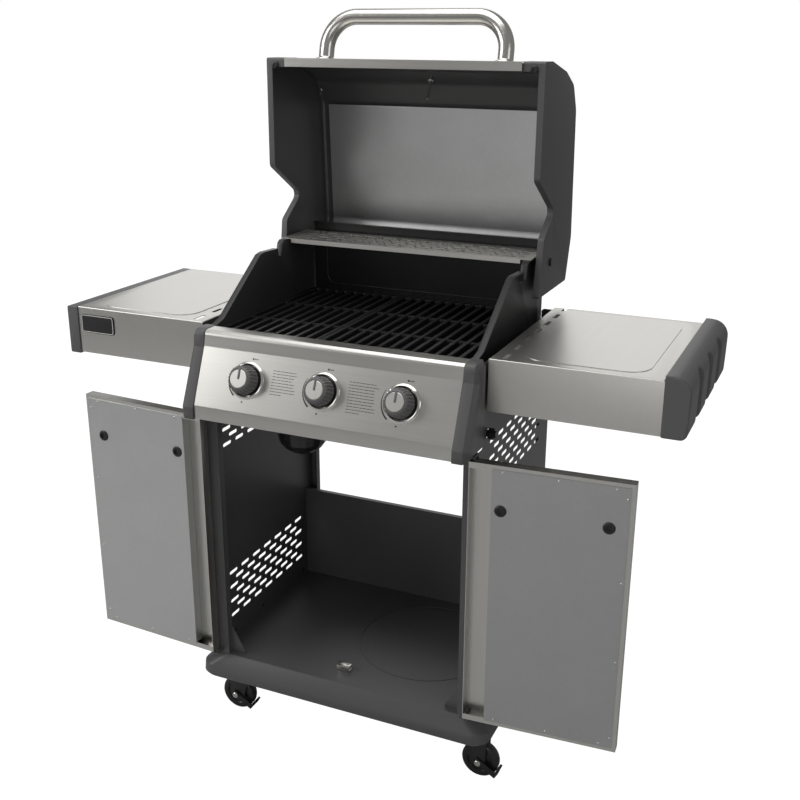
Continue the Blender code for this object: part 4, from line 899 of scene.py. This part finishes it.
class GRILL_OT_shelves(bpy.types.Operator):
    """Finishes the side shelves, their end caps and the plain badge"""
    bl_idname = "grill.shelves"
    bl_label = "Side shelves"

    def execute(self, context):
        for hand in HANDS:
            shelf = copied(f"{hand}_shelf", f"{hand}_shelf_sheet")
            low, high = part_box(f"{hand}_shelf")

            def outside(point):
                return (abs(point.y - low.y) < 1e-4 or abs(point.y - high.y) < 1e-4) and point.z > high.z - 0.003

            weigh_edges(shelf, lambda a, b, bend: outside(a) and outside(b) and bend > 60)
            round_edges(shelf, 0.0024, 4, by_weight=True)
            finish_piece(shelf, "cart", "stainless_y", f"{hand}_shelf", angle=35)
        left = copied("left_shelf_cap", "left_shelf_end")
        round_edges(left, 0.0016, 3, 50)
        finish_piece(left, "cart", "grey_plastic", "left_shelf_cap", angle=40)
        right = copied("right_shelf_cap", "right_shelf_end")
        alone(right)
        bpy.ops.object.modifier_add(type="REMESH")
        grid = right.modifiers[-1]
        grid.mode, grid.voxel_size = "VOXEL", 0.0020
        bpy.ops.object.modifier_apply(modifier=grid.name)
        bpy.ops.object.modifier_add(type="SMOOTH")
        ease = right.modifiers[-1]
        ease.factor, ease.iterations = 0.5, 9
        bpy.ops.object.modifier_apply(modifier=ease.name)
        finish_piece(right, "cart", "grey_plastic", "right_shelf_cap", angle=60)
        self.badge()
        return {"FINISHED"}

    def badge(self):
        plate = copied("badge_plate", "badge")
        round_edges(plate, 0.0007, 3, 50)
        finish_piece(plate, "cart", "gloss_black", "badge_plate", angle=40)
        low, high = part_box("badge_plate")
        inset, line = 0.0016, 0.0009
        outline = slab("badge_line", (low.x + inset, low.y - 0.0003, low.z + inset),
                       (high.x - inset, low.y + 0.0005, high.z - inset))
        weigh_edges(outline, lambda a, b, bend: abs(a.y - b.y) > 0.0004)
        round_edges(outline, 0.0048, 5, by_weight=True)
        core = slab("core", (low.x + inset + line, low.y - 0.002, low.z + inset + line),
                    (high.x - inset - line, low.y + 0.002, high.z - inset - line))
        weigh_edges(core, lambda a, b, bend: abs(a.y - b.y) > 0.0004)
        round_edges(core, 0.0040, 5, by_weight=True)
        finish_piece(carve(outline, core), "cart", "dial")


class GRILL_OT_firebox(bpy.types.Operator):
    """Finishes the firebox, its cooking grates and the warming rack"""
    bl_idname = "grill.firebox"
    bl_label = "Firebox"

    def execute(self, context):
        for hand in HANDS:
            side = copied(f"{hand}_firebox_side", f"{hand}_cheek")
            round_edges(side, 0.0005, 2, 50)
            finish_piece(side, "cart", "cheek_grey", f"{hand}_firebox_side", angle=35)
            grate = copied(f"{hand}_grate", f"{hand}_cooking_grate")
            round_edges(grate, 0.0013, 2, 50)
            finish_piece(grate, f"{hand}_grate", "cast_iron", f"{hand}_grate", angle=50)
        self.bead()
        self.rack()
        return {"FINISHED"}

    def bead(self):
        """The raised line pressed into the firebox's rear wall."""
        low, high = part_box("firebox_bowl")
        y, top, bottom = high.y - 0.0012, high.z - 0.028, 0.872
        half = (high.x - low.x) / 2 - 0.030
        left, right = CENTRE_X - half, CENTRE_X + half
        line = pipe("rear_wall_bead", [(CENTRE_X, y, bottom), (right, y, bottom), (right, y, top), (left, y, top),
                                       (left, y, bottom), (CENTRE_X, y, bottom)], 0.0011, 0.020, 8, 5)
        finish_piece(line, "cart", "enamel")

    def rack(self):
        low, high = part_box("warming_rack")
        rack = copied("warming_rack", "rack_sheet")
        length_y = high.y - low.y - 0.020
        rows, columns = 6, 30
        pitch_x, pitch_y = (high.x - low.x - 0.030) / columns, length_y / rows
        slot = slab("slot", (-0.0068, -0.0024, -0.02), (0.0068, 0.0024, 0.02))
        places = []
        for row in range(rows):
            for column in range(columns - row % 2):
                lean = math.radians(38 if (row + column) % 2 else -38)
                spot = (low.x + 0.015 + (column + 0.5 + 0.5 * (row % 2)) * pitch_x,
                        low.y + 0.012 + (row + 0.5) * pitch_y, high.z)
                places.append(Matrix.Translation(spot) @ Matrix.Rotation(lean, 4, "Z"))
        rack = carve(rack, repeated("slots", slot, places))
        finish_piece(rack, "warming_rack", "rack", "warming_rack", angle=35)


class GRILL_OT_control_panel(bpy.types.Operator):
    """Finishes the sloping control panel, its end caps and its printed marks"""
    bl_idname = "grill.control_panel"
    bl_label = "Control panel"

    def execute(self, context):
        sizes = context.scene.grill_sizes
        panel = copied("control_panel", "fascia")
        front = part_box("control_panel")[0].y
        weigh_edges(panel, lambda a, b, bend: abs(a.x - b.x) > 0.3 and 8 < bend < 100
                    and min(a.y, b.y) < front + 0.075)
        round_edges(panel, 0.0050, 5, by_weight=True)
        finish_piece(panel, "cart", "stainless_x", "control_panel", angle=40)
        for hand in HANDS:
            cap = copied(f"{hand}_panel_cap", f"{hand}_fascia_end")
            round_edges(cap, 0.0018, 3, 50)
            finish_piece(cap, "cart", "cast_grey", f"{hand}_panel_cap", angle=40)
        rings, shadows, ink = [], [], []
        r = sizes.bezel
        for name in KNOBS:
            place = facing(knob_spot(name), KNOB_OUT)
            ring = turned("ring", closed_profile([(0.0278, 0.0), (r, 0.0), (r, 0.0010), (r - 0.0022, 0.0030),
                                                  (r - 0.0042, 0.0034), (0.0288, 0.0022), (0.0278, 0.0014)]), 72)
            ring.matrix_world = place
            rings.append(settle(ring))
            # Painted shade: a flat black disc under the knob stands for the shade in the gap between knob and bezel.
            disc = turned("disc", [(0, 0.0), (0.0279, 0.0), (0.0279, 0.0006), (0, 0.0006)], 48)
            disc.matrix_world = place
            shadows.append(settle(disc))
            ink += self.marks(place)
        finish_piece(joined("knob_bezels", rings), "cart", "chrome")
        # The discs take the black plastic finish as painted shade.
        finish_piece(joined("knob_painted_shade_discs", shadows), "cart", "black_plastic")
        ink += self.notes()
        finish_piece(joined("printed_marks", ink), "cart", "ink")
        return {"FINISHED"}

    def marks(self, place):
        """A dot above the knob, a sweep at its left and a small triangle below."""
        made = []
        dot = turned("dot", [(0, 0.0), (0.0019, 0.0), (0.0019, PRINT), (0, PRINT)], 20)
        dot.matrix_world = place @ Matrix.Translation((0.006, 0.0400, 0))
        made.append(settle(dot))
        for k in range(2):
            dash = slab("dash", (0.0090 + k * 0.0042, 0.0390, 0), (0.0118 + k * 0.0042, 0.0408, PRINT))
            dash.matrix_world = place
            made.append(settle(dash))
        for k in range(12):
            turn = math.radians(62 + k * 7)
            wide = 0.0004 + 0.0001 * k
            part = slab("sweep", (-0.0026, 0.0375 - wide, 0), (0.0026, 0.0375 + wide, PRINT))
            part.matrix_world = place @ Matrix.Rotation(turn, 4, "Z")
            made.append(settle(part))
        tip = turned("tip", [(0, 0.0), (0.0026, 0.0), (0.0026, PRINT), (0, PRINT)], 3)
        spot = Matrix.Translation((-0.004, -0.0395, 0))
        tip.matrix_world = place @ spot @ Matrix.Rotation(math.radians(30), 4, "Z")
        made.append(settle(tip))
        return made

    def notes(self):
        """Rows of plain dashes where small print would be."""
        made = []
        draw = random.Random(5)
        for left, rows, wide in ((-0.1020, 9, 0.050), (0.0500, 11, 0.058)):
            centre = knob_spot("centre")
            place = facing(centre, KNOB_OUT)
            for row in range(rows):
                x, y = left, 0.024 - row * 0.0053
                end = left + wide * (0.45 if row == rows - 1 else draw.uniform(0.82, 1.0))
                while x < end:
                    word = min(draw.uniform(0.0030, 0.0075), end - x)
                    part = slab("word", (x, y, 0), (x + word, y + 0.0011, 0.00010))
                    part.matrix_world = place
                    made.append(settle(part))
                    x += word + 0.0011
        return made


class GRILL_OT_knobs(bpy.types.Operator):
    """Turns the three ribbed knobs, their bright discs and their pointers"""
    bl_idname = "grill.knobs"
    bl_label = "Knobs"

    def execute(self, context):
        sizes = context.scene.grill_sizes
        for name in KNOBS:
            self.knob(name, sizes)
        return {"FINISHED"}

    def knob(self, name, sizes):
        r = sizes.knob
        place = facing(knob_spot(name), KNOB_OUT)
        body = turned(f"{name}_grip", closed_profile([
            (0.0036, 0.0056), (r - 0.0006, 0.0056), (r, 0.0064), (r, 0.0100), (r - 0.0006, 0.0180),
            (r - 0.0012, 0.0235), (r - 0.0030, 0.0275), (r - 0.0062, 0.0303), (0.0185, 0.0310), (0.0176, 0.0306),
            (0.0170, 0.0300), (0.0036, 0.0298)]), sizes.flutes * 6)
        alone(body)
        bpy.ops.object.mode_set(mode="EDIT")
        bpy.ops.mesh.select_all(action="DESELECT")
        bpy.ops.object.mode_set(mode="OBJECT")
        step = math.tau / sizes.flutes
        for vert in body.data.vertices:
            around = (math.atan2(vert.co.y, vert.co.x) % step) / step
            vert.select = 0.30 < around < 0.75 and vert.co.xy.length > r - 0.0035 and 0.0090 < vert.co.z < 0.0290
        bpy.ops.object.mode_set(mode="EDIT")
        bpy.ops.transform.resize(value=(0.935, 0.935, 1), center_override=(0, 0, 0))
        bpy.ops.object.mode_set(mode="OBJECT")
        body.matrix_world = place
        finish_piece(body, f"{name}_knob", "knob_grey", f"{name}_knob", angle=35)
        disc = turned(f"{name}_knob_disc", [(0, 0.0299), (0.0168, 0.0299), (0.0168, 0.0312), (0.0160, 0.0317),
                                            (0, 0.0317)], 64)
        disc.matrix_world = place
        finish_piece(disc, f"{name}_knob", "knob_disc")
        pointer = slab(f"{name}_pointer", (-0.0021, -0.0010, 0.0312), (0.0021, 0.0190, 0.0326))
        round_edges(pointer, 0.0009, 3, 50)
        pointer.matrix_world = place
        finish_piece(pointer, f"{name}_knob", "knob_grey")


class GRILL_PT_looks(bpy.types.Panel):
    """Lists the grill's pieces and settings"""
    bl_idname = "GRILL_PT_looks"
    bl_label = "Grill looks"
    bl_space_type = "VIEW_3D"
    bl_region_type = "UI"
    bl_category = "Grill"

    def draw(self, context):
        for group in (context.scene.grill_sizes, context.scene.grill_colours):
            for key in group.__annotations__:
                self.layout.prop(group, key)
        for operator in OPERATORS:
            self.layout.operator(operator.bl_idname)


OPERATORS = (GRILL_OT_stage, GRILL_OT_finishes, GRILL_OT_lid, GRILL_OT_lid_handle, GRILL_OT_thermometer,
             GRILL_OT_cart, GRILL_OT_casters, GRILL_OT_doors, GRILL_OT_shelves, GRILL_OT_firebox,
             GRILL_OT_control_panel, GRILL_OT_knobs)
CLASSES = (GrillSizes, GrillColours, *OPERATORS, GRILL_PT_looks)


def register():
    for made in CLASSES:
        bpy.utils.register_class(made)
    bpy.types.Scene.grill_sizes = bpy.props.PointerProperty(type=GrillSizes)
    bpy.types.Scene.grill_colours = bpy.props.PointerProperty(type=GrillColours)


def unregister():
    del bpy.types.Scene.grill_colours
    del bpy.types.Scene.grill_sizes
    for made in reversed(CLASSES):
        bpy.utils.unregister_class(made)


def main():
    register()
    for operator in OPERATORS:
        family, name = operator.bl_idname.split(".")
        getattr(getattr(bpy.ops, family), name)()


if __name__ == "__main__":
    main()
